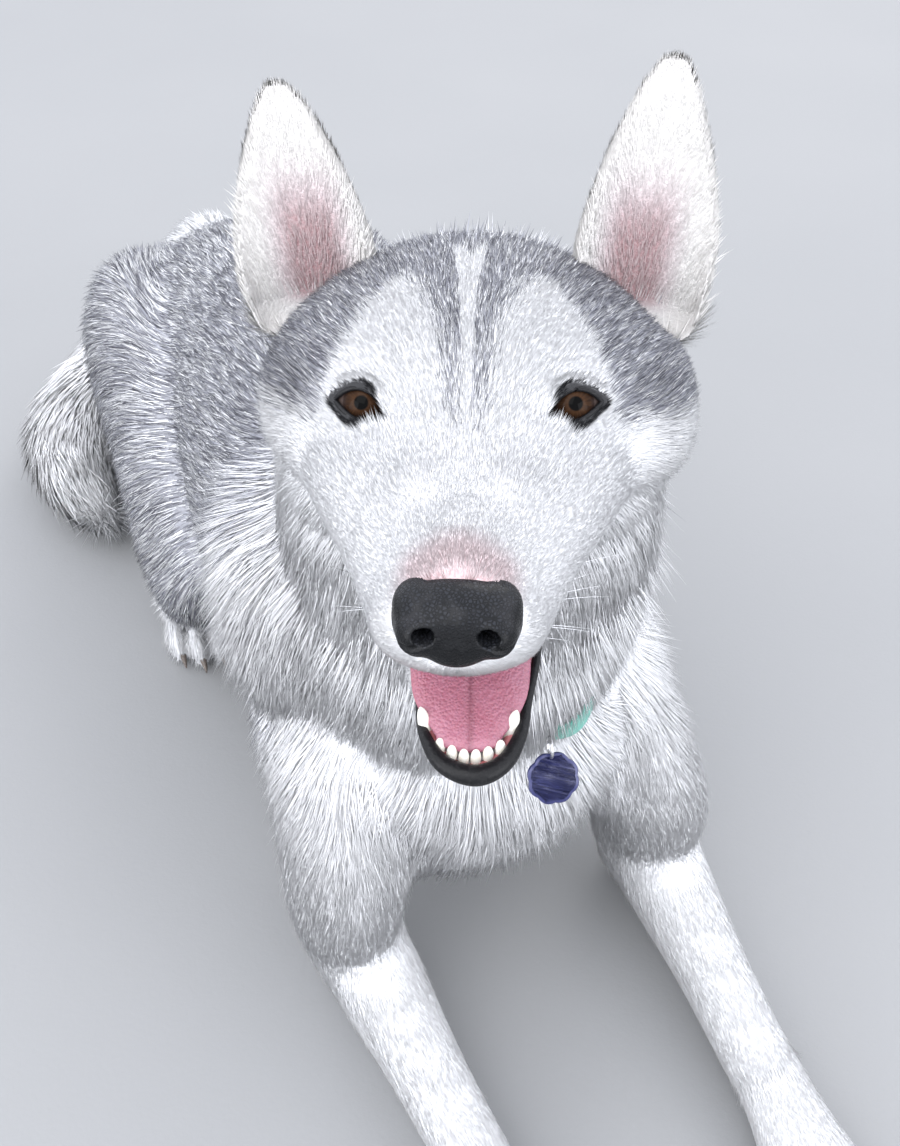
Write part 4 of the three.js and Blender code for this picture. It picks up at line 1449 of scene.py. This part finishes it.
def grow_tufts(region: Region, roots: Array, facing: Array, way: Array, size: Array,
               rng: np.random.Generator, finish: CoatFinish, marks: dict[str, Array] | None = None) -> None:
    """Make the tufts of a region as pieces that stay under the limit of faces.

    Args:
        region: The region.
        roots: The roots' places.
        facing: The skin's normals there.
        way: The way of the hair.
        size: Its length and lift.
        rng: The stream of random numbers.
        finish: The coat's finish.
        marks: The markings, where they aren't the body's own.
    """
    n = len(roots)
    facing = unit(facing)
    way = unit(way - facing * (way * facing).sum(1, keepdims=True))
    sway = np.radians(6 * rng.standard_normal(n) + 9 * ripple(roots, 38, 0.7) + 5 * ripple(roots, 12, 2.3))
    way = way * np.cos(sway)[:, None] + np.cross(facing, way) * np.sin(sway)[:, None]
    side = np.cross(facing, way)
    length = size[:, 0] * rng.uniform(0.72, 1.28, n)
    wide = region.width(size[:, 0]) * rng.uniform(0.75, 1.25, n)
    lift = np.radians(size[:, 1] * rng.uniform(0.8, 1.2, n) + 7 * (rng.random(n) < 0.05))
    seed = rng.random(n)
    marks = {"seed": seed, **(marks or MARKINGS.at(roots + way * (0.45 * length)[:, None]))}
    levels, widths, droop = ((0.0, 0.5), (0.8, 0.85), 0.45) if region.bent else ((0.0,), (1.0,), 0.2)
    spots, tips = [], []
    for level, factor in zip(levels, widths):
        middle = roots + (way * (np.cos(lift) * length * level)[:, None])
        rise = np.sin(lift) * length * (level - droop * level**2 - (0.22 if level == 0 else 0))
        middle = middle + facing * rise[:, None]
        half = (wide * factor / 2)[:, None]
        spots += [middle - side * half, middle + side * half, middle + facing * half * 0.3]
        tips += [np.full(n, level)] * 3
    rise = np.sin(lift) * length * (1 - droop)
    spots.append(roots + way * (np.cos(lift) * length)[:, None] + facing * rise[:, None])
    tips.append(np.ones(n))
    spots = np.stack(spots, 1)
    spots[:, :, 2] = np.maximum(spots[:, :, 2], FLOOR_CLEAR + 0.2 * seed[:, None])
    tips = np.stack(tips, 1)
    faces = [(0, 2, 1)]
    k, tip = 3 * (len(levels) - 1), 3 * len(levels)
    for j in range(0, k, 3):
        faces += [(j, j + 1, j + 4, j + 3), (j + 1, j + 2, j + 5, j + 4), (j + 2, j, j + 3, j + 5)]
    faces += [(k, k + 1, tip), (k + 1, k + 2, tip), (k + 2, k, tip)]
    each = sum(len(f) - 2 for f in faces)
    local = seen_from(FACE_FRAME if region in (Region.FACE, Region.EAR) else TRUNK_FRAME, roots)
    for name, mask in {"left": local[:, 0] > 0, "right": local[:, 0] <= 0}.items():
        pick = np.flatnonzero(mask)
        if not len(pick):
            continue
        title = f"coat_{region.name.lower()}_{name}"
        parts = int(np.ceil(len(pick) * each / FACES_IN_PIECE))
        order = pick[np.argsort(local[pick, 1], kind="stable")]
        for number, chosen in enumerate(np.array_split(order, parts), 1):
            mesh = tuft_mesh(spots[chosen], tips[chosen], faces, facing[chosen],
                             {m: v[chosen] for m, v in marks.items()}, roots[chosen])
            piece(title if parts == 1 else f"{title}_{number}", mesh, finish)


def tuft_mesh(spots: Array, tips: Array, faces: list[tuple[int, ...]], facing: Array,
              marks: dict[str, Array], roots: Array) -> bpy.types.Mesh:
    """Join tufts into one mesh with its attributes and its map for baking.

    Args:
        spots: Each tuft's points.
        tips: How far along the tuft each point is.
        faces: The faces of one tuft.
        facing: The skin's normal at each root.
        marks: The markings and the random number of each tuft.
        roots: Each tuft's root.

    Returns:
        The mesh in metres.
    """
    count, per = spots.shape[:2]
    loops = np.concatenate([np.array(f) for f in faces])
    sides = np.array([len(f) for f in faces])
    mesh = bpy.data.meshes.new("tufts")
    mesh.vertices.add(count * per)
    mesh.vertices.foreach_set("co", metres(spots.reshape(-1, 3)).astype(np.float32).ravel())
    mesh.loops.add(count * len(loops))
    index = (np.arange(count)[:, None] * per + loops[None]).ravel()
    mesh.loops.foreach_set("vertex_index", index.astype(np.int32))
    mesh.polygons.add(count * len(faces))
    starts = np.concatenate([[0], np.cumsum(np.tile(sides, count))[:-1]])
    mesh.polygons.foreach_set("loop_start", starts.astype(np.int32))
    mesh.update(calc_edges=True)
    set_attribute(mesh, "tip", tips.ravel())
    for name, values in marks.items():
        set_attribute(mesh, name, np.repeat(values, per))
    set_attribute(mesh, "lay", np.repeat(facing, per, 0))
    uv = tile_corners(roots, facing)[:, None] + patch_map(faces, per)[None] * PATCH
    layer = mesh.uv_layers.new(name="OFBake")
    layer.data.foreach_set("uv", uv.astype(np.float32).ravel())
    return mesh


def tile_corners(roots: Array, facing: Array) -> Array:
    """Lay each root on an unwrap of the skin: six tiles, one for each way that the skin faces.

    Args:
        roots: The roots' places.
        facing: The skin's normals there.

    Returns:
        The corner of each root's patch, from 0 to 1.
    """
    axis = np.abs(facing).argmax(1)
    way = 2 * axis + (np.take_along_axis(facing, axis[:, None], 1)[:, 0] > 0)
    corner = np.zeros((len(roots), 2))
    for tile in range(6):
        here = way == tile
        if not here.any():
            continue
        flat = np.delete(roots[here], tile // 2, 1)
        low, high = flat.min(0), flat.max(0)
        share = (flat - low) / np.maximum(high - low, 1e-6)
        spread = np.array([1 / 3, 1 / 2])
        corner[here] = np.array([tile % 3, tile // 3]) * spread + 0.004 + share * (spread - 0.012)
    return corner


def patch_map(faces: list[tuple[int, ...]], per: int) -> Array:
    """Spread one tuft's faces over its patch: a strip for each side, and the base below them."""
    local = [(0.1, 0.0), (0.5, 0.12), (0.9, 0.0)]
    rings = (per - 1) // 3
    for number, face in enumerate(faces[1:]):
        strip = number % 3
        left, right = strip / 3 + 0.02, (strip + 1) / 3 - 0.02
        for k, v in enumerate(face):
            if v == per - 1:
                local.append(((left + right) / 2, 1.0))
            else:
                local.append((left if k in (0, 3) else right, 0.15 + 0.85 * (v // 3) / rings))
    return np.array(local)


# ---------------------------------------------------------------- ears, eyes, nose, mouth


EAR_LENGTH = 77
EAR_APART = 61
EAR_LEAN_OVER = 90


@dataclass
class Ear:
    """One upright ear: a thin cupped shell with its own coat."""

    name: str
    lean: float
    rise: float
    half: float = 27.0

    def _rows(self, slim: float, deep: float, forward: float, grow: float) -> Sweep:
        """Give the stations of the shell or of the cup cut from it."""
        s, half = SIDES[self.name], self.half
        rise, lean = EAR_LENGTH * self.rise, self.lean
        rows = (
            (s * 60, 74 - forward, 10, half * slim * 0.96, 20 * deep, 16),
            (s * (EAR_APART + 0.3 * lean), 76 - forward, 0.46 * rise, half * slim, 16 * deep, 9),
            (s * (EAR_APART + 0.6 * lean), 77 - forward, 0.82 * rise, 0.78 * half * slim, 10 * deep, 6),
            (s * (EAR_APART + 0.85 * lean), 78 - forward, 1.1 * rise, 0.5 * half * slim, 4.5 * deep, 4),
            (s * (EAR_APART + lean), 78 - forward, 1.25 * rise, 0.27 * half * slim, 2.8 * deep, 2.8, 5),
        )
        return Sweep(rows, FACE_FRAME, AHEAD, depths=(grow,))

    def shell(self) -> bpy.types.Mesh:
        """Build the ear's flesh: a shell with its cup cut away, rounded at its edge."""
        outer = mesh_of([self._rows(1, 1, 0, 1.2).body(48, 48)], "ear")
        cupped = carved(outer, [self._rows(0.84, 1.5, 7.5, -0.6).body(48, 48)], Carve.CUT)
        return remeshed(cupped, 1.2, 4)

    def grow(self, mesh: bpy.types.Mesh, coat: Coat) -> None:
        """Grow the ear's coat: short outside, long and sparse inside, a fringe at the edge."""
        shape = shape_of(mesh)
        bmesh.ops.triangulate(shape, faces=shape.faces)
        shape.to_mesh(mesh)
        shape.free()
        s = SIDES[self.name]
        verts = millimetres(points_of(mesh))
        normals = points_of(mesh, "vertex_normals", "vector")
        local = seen_from(FACE_FRAME, verts)
        x, _, z = local.T
        inside = self._inside(local, normals @ FACE_FRAME[:3, :3])
        marks = self._marks(local, inside)
        for key, values in marks.items():
            set_attribute(mesh, key, values)
        outward = (x - s * EAR_APART - s * self.lean * z / EAR_LEAN_OVER) / self.half
        ways = np.tile(np.array([0.16 * s, 0.02, 1.0]), (len(verts), 1))
        ways[:, 0] += 0.75 * outward * inside + 0.25 * outward * (1 - inside)
        ways = ways @ FACE_FRAME[:3, :3].T
        length = np.where(inside > 0.5, 9 - 4 * rising(z, 30, 90), 5.0)
        length = length + 7 * (1 - rising(z, 0, 26)) * (inside < 0.5)
        length = np.minimum(length, 3.5 + 0.3 * np.maximum(EAR_LENGTH * 1.27 * self.rise - z, 0))
        sizes = np.stack([length, np.where(inside > 0.5, 12.0, 10.0)], 1)
        rng = np.random.default_rng(coat.seed + 5 + s)
        triangles = corners_of(mesh).reshape(-1, 3)
        density = Region.EAR.crowd(sizes[triangles, 0].mean(1)) * (1 - 0.6 * inside[triangles].mean(1))
        mixed = scattered(verts, triangles, density, rng)
        grow_tufts(Region.EAR, mixed(verts), unit(mixed(normals)), mixed(ways), mixed(sizes), rng,
                   coat.finish, {k: mixed(v) for k, v in marks.items()})

    def _inside(self, local: Array, facing: Array) -> Array:
        """Say which spots are in the ear's cup."""
        s = SIDES[self.name]
        axis_x = s * (EAR_APART + 0.9 * self.lean * local[:, 2] / EAR_LEAN_OVER)
        toward = np.stack([axis_x, np.full(len(local), 68.0), local[:, 2]], 1) - local
        return rising((unit(toward) * facing).sum(1), -0.05, 0.35) * rising(local[:, 2], 2, 12)

    def _marks(self, local: Array, inside: Array) -> dict[str, Array]:
        """Mark the ear: pink in the cup, cream at the edge, light grey behind."""
        s = SIDES[self.name]
        x, y, z = local.T
        across = (x - s * (EAR_APART + 0.9 * self.lean * z / EAR_LEAN_OVER)) / self.half
        centre = 1 - rising(np.abs(across + 0.12 * s), 0.2, 0.72)
        blush = inside * centre * rising(z, 2, 14) * (1 - rising(z, 34, 70))
        behind = (1 - inside) * rising(y, 76, 84)
        return {
            "grey": 0.16 * behind + 0.5 * behind * (1 - rising(z, 5, 36)),
            "dark": 0.22 * np.clip(blush, 0, 1) ** 2,
            "blush": np.clip(blush, 0, 1),
            "cream": np.clip(0.75 - blush, 0, 1) * (1 - 0.5 * behind),
        }

    def build(self, coat: Coat, under: Finish) -> None:
        """Build the ear's skin and its coat."""
        mesh = self.shell()
        self.grow(mesh, coat)
        piece(f"ear_skin_{self.name}", mesh, under, [f"ear_{self.name}"])


@dataclass
class Eye:
    """One eye with its lid rims."""

    name: str

    def build(self, look_at: Array) -> None:
        """Build the eyeball, turned to what it looks at, and the black rims of its lids.

        Args:
            look_at: The spot that the eye looks at, in the dog's frame.
        """
        s = SIDES[self.name]
        centre = carried(FACE_FRAME, np.array([eye_spot(s)]))[0]
        aside = FACE_FRAME[:3, :3] @ np.array([0.2 * s, -0.04, 0.0])
        gaze = unit(unit(look_at - centre) + aside)
        shape = bmesh.new()
        bmesh.ops.create_uvsphere(shape, u_segments=72, v_segments=48, radius=1)
        spots = np.array([v.co for v in shape.verts])
        turn = spots @ gaze
        bulge = 1 + 0.075 * np.exp(-((np.arccos(np.clip(turn, -1, 1)) / 0.42) ** 2))
        set_spots(shape, centre + spots * (EYE_RADIUS * bulge)[:, None] * 0.985)
        finish = EyeFinish(f"eye_{self.name}", tuple(metres(centre)), tuple(gaze))
        piece(f"eyeball_{self.name}", mesh_of([shape], "eye"), finish, [f"eye_{self.name}"])
        edge = EYE_LIDS.on_ball(s, EYE_RADIUS + 0.75)
        sizes = 0.85 + 0.55 * rising(-edge[:, 2] + 0.3 * s * (s * 34 - edge[:, 0]), 1, 7)
        rims = mesh_of([tube(carried(FACE_FRAME, edge), sizes, 12, closed=True)], "rims")
        piece(f"lid_rims_{self.name}", rims, Bare.LIP)


@dataclass
class Nose:
    """The nose leather with its nostrils and the groove between them."""

    half_width: float = 19.8

    def build(self) -> None:
        """Build the nose."""
        w = self.half_width
        shapes = [
            ball((0, -83, -33.3), (w, 13.6, 12.9), FACE_FRAME),
            ball((0, -89, -37), (11, 8.5, 8), FACE_FRAME),
        ]
        cuts = []
        for s in SIDES.values():
            shapes.append(ball((s * 11, -81.5, -29.8), (8.5, 11.3, 8), FACE_FRAME))
            shapes.append(ball((s * 10.6, -89, -34), (7.6, 8.7, 7.8), FACE_FRAME))
            hole = Sweep((
                (s * 8.6, -103, -32, 3.6, 2.6, 3.4, 2),
                (s * 9.4, -96, -32, 3.3, 2.4, 3.1),
                (s * 8.6, -86, -31, 2.4, 2.2, 2.2, 2),
            ), FACE_FRAME)
            cuts.append(hole.body(20, 16))
            comma = Sweep((
                (s * 10, -99, -35, 2.4, 1.7, 1.7, 1.5),
                (s * 15, -96, -36.5, 2.2, 1.4, 1.4),
                (s * 20, -89, -36, 1.6, 1.0, 1.0, 1.5),
            ), FACE_FRAME)
            cuts.append(comma.body(16, 16))
        groove = Sweep((
            (0, -100, -29, 0.9, 2.2, 2.2, 1),
            (0, -99, -37, 1.2, 2.6, 2.6),
            (0, -95.5, -46, 1.2, 2.4, 2.4, 1),
        ), FACE_FRAME, AHEAD)
        cuts.append(groove.body(16, 16))
        mesh = remeshed(carved(fused(shapes, 0.9, 9), cuts, Carve.CUT), 0.62, 2)
        piece("nose_leather", mesh, Bare.NOSE, ["nose"])


@dataclass
class Mouth:
    """The open mouth: lining, tongue, teeth, gums and lips."""

    lip: tuple[tuple[float, float, float, float], ...] = (
        (-14, -44, -84, 1.0), (-13, -55, -86.5, 1.2), (-10.4, -65.5, -88.6, 2.0), (-4.2, -74.4, -92.6, 3.0),
        (6.0, -77.8, -94.2, 3.5), (14.8, -73.8, -92.4, 3.1), (20.2, -64.5, -88, 2.3),
        (22.4, -52.4, -82.2, 1.8), (25.2, -38.7, -75.3, 1.5), (26.4, -22, -68, 1.4), (26, -6, -62, 1.3),
    )
    gum: tuple[tuple[float, float, float], ...] = (
        (-10.5, -54, -89), (-8.3, -63.5, -91.5), (-3.6, -70.6, -95), (4.6, -73.4, -96.4),
        (12.6, -70.2, -94.8), (17.6, -63, -91.4), (20, -50, -85), (21.5, -36, -78), (22, -18, -70),
    )

    def build(self) -> None:
        """Build every piece of the mouth."""
        self._lips()
        self._lining()
        self._tongue()
        self._teeth()

    def _lips(self) -> None:
        """Build the black lower lip and the dark edge of the upper one."""
        path = catmull(np.array(self.lip), np.linspace(0, 1, 90))
        lower = tube(carried(FACE_FRAME, path[:, :3]), path[:, 3], 14)
        upper = []
        for s in SIDES.values():
            edge = np.array([(s * 27.5, -6, -58), (s * 29, -20, -58), (s * 26.5, -40, -57),
                             (s * 22, -56, -55.5), (s * 15, -68, -54), (s * 7, -74, -52), (0, -76, -50)])
            upper.append(tube(carried(FACE_FRAME, catmull(edge, np.linspace(0, 1, 40))), 1.3, 10))
        piece("lips", mesh_of([lower, *upper], "lips"), Bare.LIP)

    def _lining(self) -> None:
        """Build the gum that carries the teeth and the floor of the mouth."""
        path = catmull(np.array(self.gum), np.linspace(0, 1, 70))
        gum = tube(carried(FACE_FRAME, path), 2.9, 14)
        floor = Sweep((
            (1, 20, -62, 16, 4, 4, 8), (2, -20, -74, 18, 3, 4), (3.6, -44, -84, 15, 3, 3),
            (4.6, -64, -92, 9, 2.5, 3, 5),
        ), FACE_FRAME).body(28, 28)
        piece("mouth_lining", mesh_of([gum, floor], "lining"), Bare.MOUTH)

    def _tongue(self) -> None:
        """Build the tongue with its groove, its edges a little raised."""
        rows = (
            (1, 14, -52, 17, 7, 6, 8), (1.8, -12, -61, 20, 6, 6), (2.8, -30, -69, 20.5, 5, 5.5),
            (3.4, -44, -76, 20, 4.5, 5), (3.7, -55, -82, 18, 4, 4.5), (3.7, -66.5, -88, 10.5, 3, 3.6, 5),
        )
        mould = lambda u, turn: 1 - 0.30 * np.exp(-(((turn - np.pi / 2) / 0.10) ** 2)) \
            - 0.10 * np.exp(-(((turn - np.pi / 2) / 0.45) ** 2))
        mesh = mesh_of([Sweep(rows, FACE_FRAME).body(96, 72, mould)], "tongue")
        verts = seen_from(FACE_FRAME, millimetres(points_of(mesh)))
        # the mask of the painted shade along the middle groove
        middle = np.interp(verts[:, 1], [-64, -32, 14], [4.6, 2.4, 1])
        off = np.abs(verts[:, 0] - middle)
        set_attribute(mesh, "groove", np.exp(-((off / 0.75) ** 2)) * rising(-verts[:, 1], -10, 10))
        piece("tongue_flesh", mesh, Bare.TONGUE, ["tongue"])

    def _teeth(self) -> None:
        """Build six lower front teeth and the two lower canines."""
        shapes = []
        for k in (-2.5, -1.5, -0.5, 0.5, 1.5, 2.5):
            x, y = 4.3 + 3.86 * k, -71.8 + 0.55 * k * k
            size = (1.75 + 0.06 * abs(k), 1.6, 3.6)
            shapes.append(ball((x, y, -92.2 + 0.26 * k * k), size, FACE_FRAME, turn=k * 10))
        for s in SIDES.values():
            t = np.linspace(0, 1, 14)
            path = np.column_stack([3.4 + s * (12.6 + 3.0 * t), -60 - 3 * t + 2.5 * t**2, -93 + 12.5 * t])
            sizes = 2.7 * np.sqrt(np.clip(1 - t**2.2, 0.006, 1))
            shapes.append(tube(carried(FACE_FRAME, path), sizes, 16))
        piece("teeth", mesh_of(shapes, "teeth"), Bare.TOOTH)


@dataclass
class Whiskers:
    """Long stiff hairs on the muzzle."""

    seed: int = 8
    radius: float = 0.14

    def build(self) -> None:
        """Build the whiskers as tapering tubes that bend back and down."""
        rng = np.random.default_rng(self.seed)
        t = np.linspace(0, 1, 9)[:, None]
        shapes, dark = [], []
        for s, row, k in ((1, 0, 1), (1, 0, 3), (1, 1, 0), (1, 1, 2), (1, 2, 1), (1, 2, 3), (1, 3, 2),
                          (1, 3, 3), (-1, 1, 1), (-1, 1, 3), (-1, 2, 2), (-1, 3, 1)):
            root = np.array([s * (25.5 - 1.6 * k - 1.2 * abs(row - 1.5)), -50 - 6.5 * k, -34 - 4.4 * row])
            way = unit(np.array([s * 1.0, 0.85 - 0.05 * k, 0.12 - 0.18 * row]) + 0.1 * rng.standard_normal(3))
            length = rng.uniform(24, 50)
            path = root + way * length * t + np.array([0, 0.25, -0.22]) * length * t**2
            shapes.append(tube(carried(FACE_FRAME, path), self.radius * (1.05 - t[:, 0]), 5))
            dark.append(s < 0 and row == 1)
        counts = [len(shape.verts) for shape in shapes]
        mesh = mesh_of(shapes, "whiskers")
        set_attribute(mesh, "dark", np.repeat(np.array(dark, float), counts))
        piece("whiskers", mesh, Bare.WHISKER)


# ---------------------------------------------------------------- collar and tag


NECK_GIRTH = 90


@dataclass
class Collar:
    """The woven collar and its round tag."""

    neck: tuple[Row, ...]
    at: tuple[float, float, float] = (9, 104, 261)
    tilt: float = 38.0
    width: float = 19.0
    thread: float = 1.6
    shown_at: tuple[float, float, float] = (67, 64, 226)
    tag_at: tuple[float, float, float] = (48, 25, 231)
    tag_radius: float = 11.4
    tag_thick: float = 2.2
    ring_radius: float = 4.5

    def build(self) -> None:
        """Build the collar, the tag and the ring."""
        self._band()
        self._tag()

    def ring(self, out: float, offset: float, steps: int = 240) -> Array:
        """Follow the neck round at the collar's height.

        Args:
            out: How far outside the neck's outline.
            offset: How far up the collar's own width.
            steps: The number of points.

        Returns:
            The points in the dog's frame.
        """
        full = Sweep(self.neck, np.eye(4), AHEAD)
        turn = np.linspace(0, 2 * np.pi, steps, endpoint=False)
        normal = turned("X", self.tilt)[:3, 2]
        level = np.array(self.at) @ normal + offset
        low, high = np.zeros(steps), np.ones(steps)
        for _ in range(30):
            middle = (low + high) / 2
            spots, _, _ = full.skin(middle, turn)
            above = spots @ normal > level
            high, low = np.where(above, middle, high), np.where(above, low, middle)
        spots, facing, _ = full.skin((low + high) / 2, turn)
        flat = unit(facing - np.outer(facing @ normal, normal))
        shown = np.exp(-((np.linalg.norm(spots - np.array(self.shown_at), axis=1) / 17) ** 2))
        spots[:, 2] -= 9 * shown
        return spots + flat * (out - 4.6 + 7 * shown)[:, None]

    def _band(self) -> None:
        """Build the strap from four rings, with raised selvedges."""
        half = self.width / 2
        profile = [(0.4, -half), (0.4, half), (2.4, half), (2.9, half - 1), (2.3, half - 2.2),
                   (2.3, -half + 2.2), (2.9, -half + 1), (2.4, -half)]
        mesh = mesh_of([bridged([self.ring(*spot) for spot in profile], closed=True)], "collar")
        self._weave(mesh)
        piece("collar_strap", mesh, Bare.WEB, ["collar"])

    def _weave(self, mesh: bpy.types.Mesh) -> None:
        """Map the strap along and across in threads."""
        layer = mesh.uv_layers.new(name="weave")
        spots = millimetres(points_of(mesh))
        normal = turned("X", self.tilt)[:3, 2]
        up = (spots - np.array(self.at)) @ normal
        flat = spots - np.outer(up, normal) - np.array(self.at)
        across = turned("X", self.tilt)[:3, 1]
        angle = np.arctan2(flat @ across, flat[:, 0])
        corners = corners_of(mesh)
        turn = angle[corners].reshape(-1, 4)
        turn = np.where(turn - turn[:, :1] > np.pi, turn - 2 * np.pi, turn)
        turn = np.where(turn - turn[:, :1] < -np.pi, turn + 2 * np.pi, turn)
        uv = np.stack([turn.ravel() * NECK_GIRTH / self.thread, up[corners] / self.thread], 1)
        layer.data.foreach_set("uv", uv.astype(np.float32).ravel())

    def _tag(self) -> None:
        """Build the flower-edged disc with its raised rim, and its ring."""
        place = moved(*self.tag_at) @ moved(-1, 0, 5) @ turned("Z", 10) @ turned("X", 54)
        steps, petals = 96, 8
        turn = np.linspace(0, 2 * np.pi, steps, endpoint=False)
        reach = self.tag_radius * (1 + 0.08 * np.abs(np.sin(petals / 2 * turn)))
        thick = self.tag_thick
        rings = []
        for height, scale in ((0.0, 0.86), (0.0, 0.97), (0.35, 1.0), (thick - 0.35, 1.0),
                              (thick, 0.97), (thick, 0.88), (thick - 0.45, 0.84)):
            spots = np.column_stack([np.cos(turn) * reach * scale, np.sin(turn) * reach * scale,
                                     np.full(steps, height)])
            rings.append(carried(place, spots))
        disc = mesh_of([bridged(rings, closed=False)], "tag")
        piece("tag_disc", disc, Bare.ENAMEL, ["tag"])
        angle = np.linspace(0, 2 * np.pi, 40, endpoint=False)
        loop = np.column_stack([np.zeros(40), self.tag_radius + 3 + self.ring_radius * np.sin(angle),
                                thick / 2 + self.ring_radius * np.cos(angle)])
        ring = tube(carried(place, loop), 0.85, 12, closed=True)
        piece("tag_ring", mesh_of([ring], "ring"), Bare.STEEL)


# ---------------------------------------------------------------- the studio


@dataclass
class Studio:
    """The floor, the lights and the camera."""

    eye_at: tuple[float, float, float] = (0, -372, 719.5)
    pitch: float = 42.0
    focal_px: float = 1350.0
    image_height: float = 1146.0

    def build(self) -> None:
        """Build the floor, the lights and the camera."""
        shape = bmesh.new()
        bmesh.ops.create_grid(shape, x_segments=2, y_segments=2, size=6)
        floor = linked("floor", mesh_of([shape], "floor"))
        dress(floor, Bare.FLOOR)
        self._lights()
        self._camera()

    def _lights(self) -> None:
        """Hang four broad lamps and light the room evenly."""
        world = bpy.data.worlds.new("studio")
        bpy.context.scene.world = world
        world.use_nodes = True
        colour, strength = world.node_tree.nodes["Background"].inputs[:2]
        colour.default_value, strength.default_value = (0.90, 0.925, 1.0, 1), 2.05
        lamps = (
            ("key", (-0.6, -1.4, 2.2), 1.9, 24, (1.0, 0.985, 0.96)),
            ("fill_left", (1.6, -1.5, 0.75), 1.4, 20, (0.97, 0.98, 1.0)),
            ("fill_right", (-1.6, -1.4, 0.75), 1.4, 20, (0.98, 0.985, 1.0)),
            ("rim", (0.9, 2.1, 1.9), 1.4, 18, (1.0, 0.97, 0.92)),
        )
        for name, spot, size, power, colour in lamps:
            lamp = bpy.data.lights.new(name, "AREA")
            lamp.size, lamp.energy, lamp.color = size, power, colour
            thing = linked(name, lamp)
            thing.location = spot
            thing.rotation_euler = lamp_turn(np.array([0, -0.05, 0.25]) - np.array(spot))
        bpy.context.scene.view_settings.view_transform = "Standard"

    def _camera(self) -> None:
        """Stand the camera where the photograph was taken from."""
        lens = bpy.data.cameras.new("camera")
        lens.sensor_fit, lens.sensor_width = "AUTO", 36.0
        lens.lens = 36.0 * self.focal_px / self.image_height
        camera = linked("camera", lens)
        camera.location = metres(np.array([self.eye_at]))[0]
        camera.rotation_euler = (math.radians(90 - self.pitch), 0, 0)
        bpy.context.scene.camera = camera


def lamp_turn(way: Array) -> tuple[float, float, float]:
    """Turn a lamp, which shines along -Z, to face a direction."""
    across = math.hypot(way[0], way[1])
    return (math.atan2(across, -way[2]), 0.0, math.atan2(way[0], -way[1]) + math.pi)


def main() -> None:
    """Build the dog, piece by piece, and then the studio."""
    logging.basicConfig(level=logging.INFO, format="%(message)s")
    Studio().build()
    skin = Skin()
    skin.build()
    LOG.info("skin: %d faces", len(skin.mesh.polygons))
    coat = Coat(CoatFinish("coat"))
    coat.grow(skin)
    # the bare skin's coat colour, darkened with painted shade where it shows between the tufts
    under = CoatFinish("skin_fur", tufts=False)
    nodes = ["head", "jaw", "neck", "trunk", "tail"]
    limbs = ("shoulder", "forearm", "forepaw", "thigh", "shank", "hindpaw")
    nodes += [f"{part}_{name}" for name in SIDES for part in limbs]
    piece("skin", skin.mesh, under, nodes)
    Ear("left", 7, 1.0).build(coat, under)
    Ear("right", 11, 0.885).build(coat, under)
    for name in SIDES:
        Eye(name).build(np.array(Studio.eye_at))
    Nose().build()
    Mouth().build()
    Whiskers().build()
    claws = [shape for paw in skin.paws.values() for shape in paw.claws()]
    piece("claws", mesh_of(claws, "claws"), Bare.CLAW)
    Collar(skin.sweeps["neck"].rows).build()


if __name__ == "__main__":
    main()
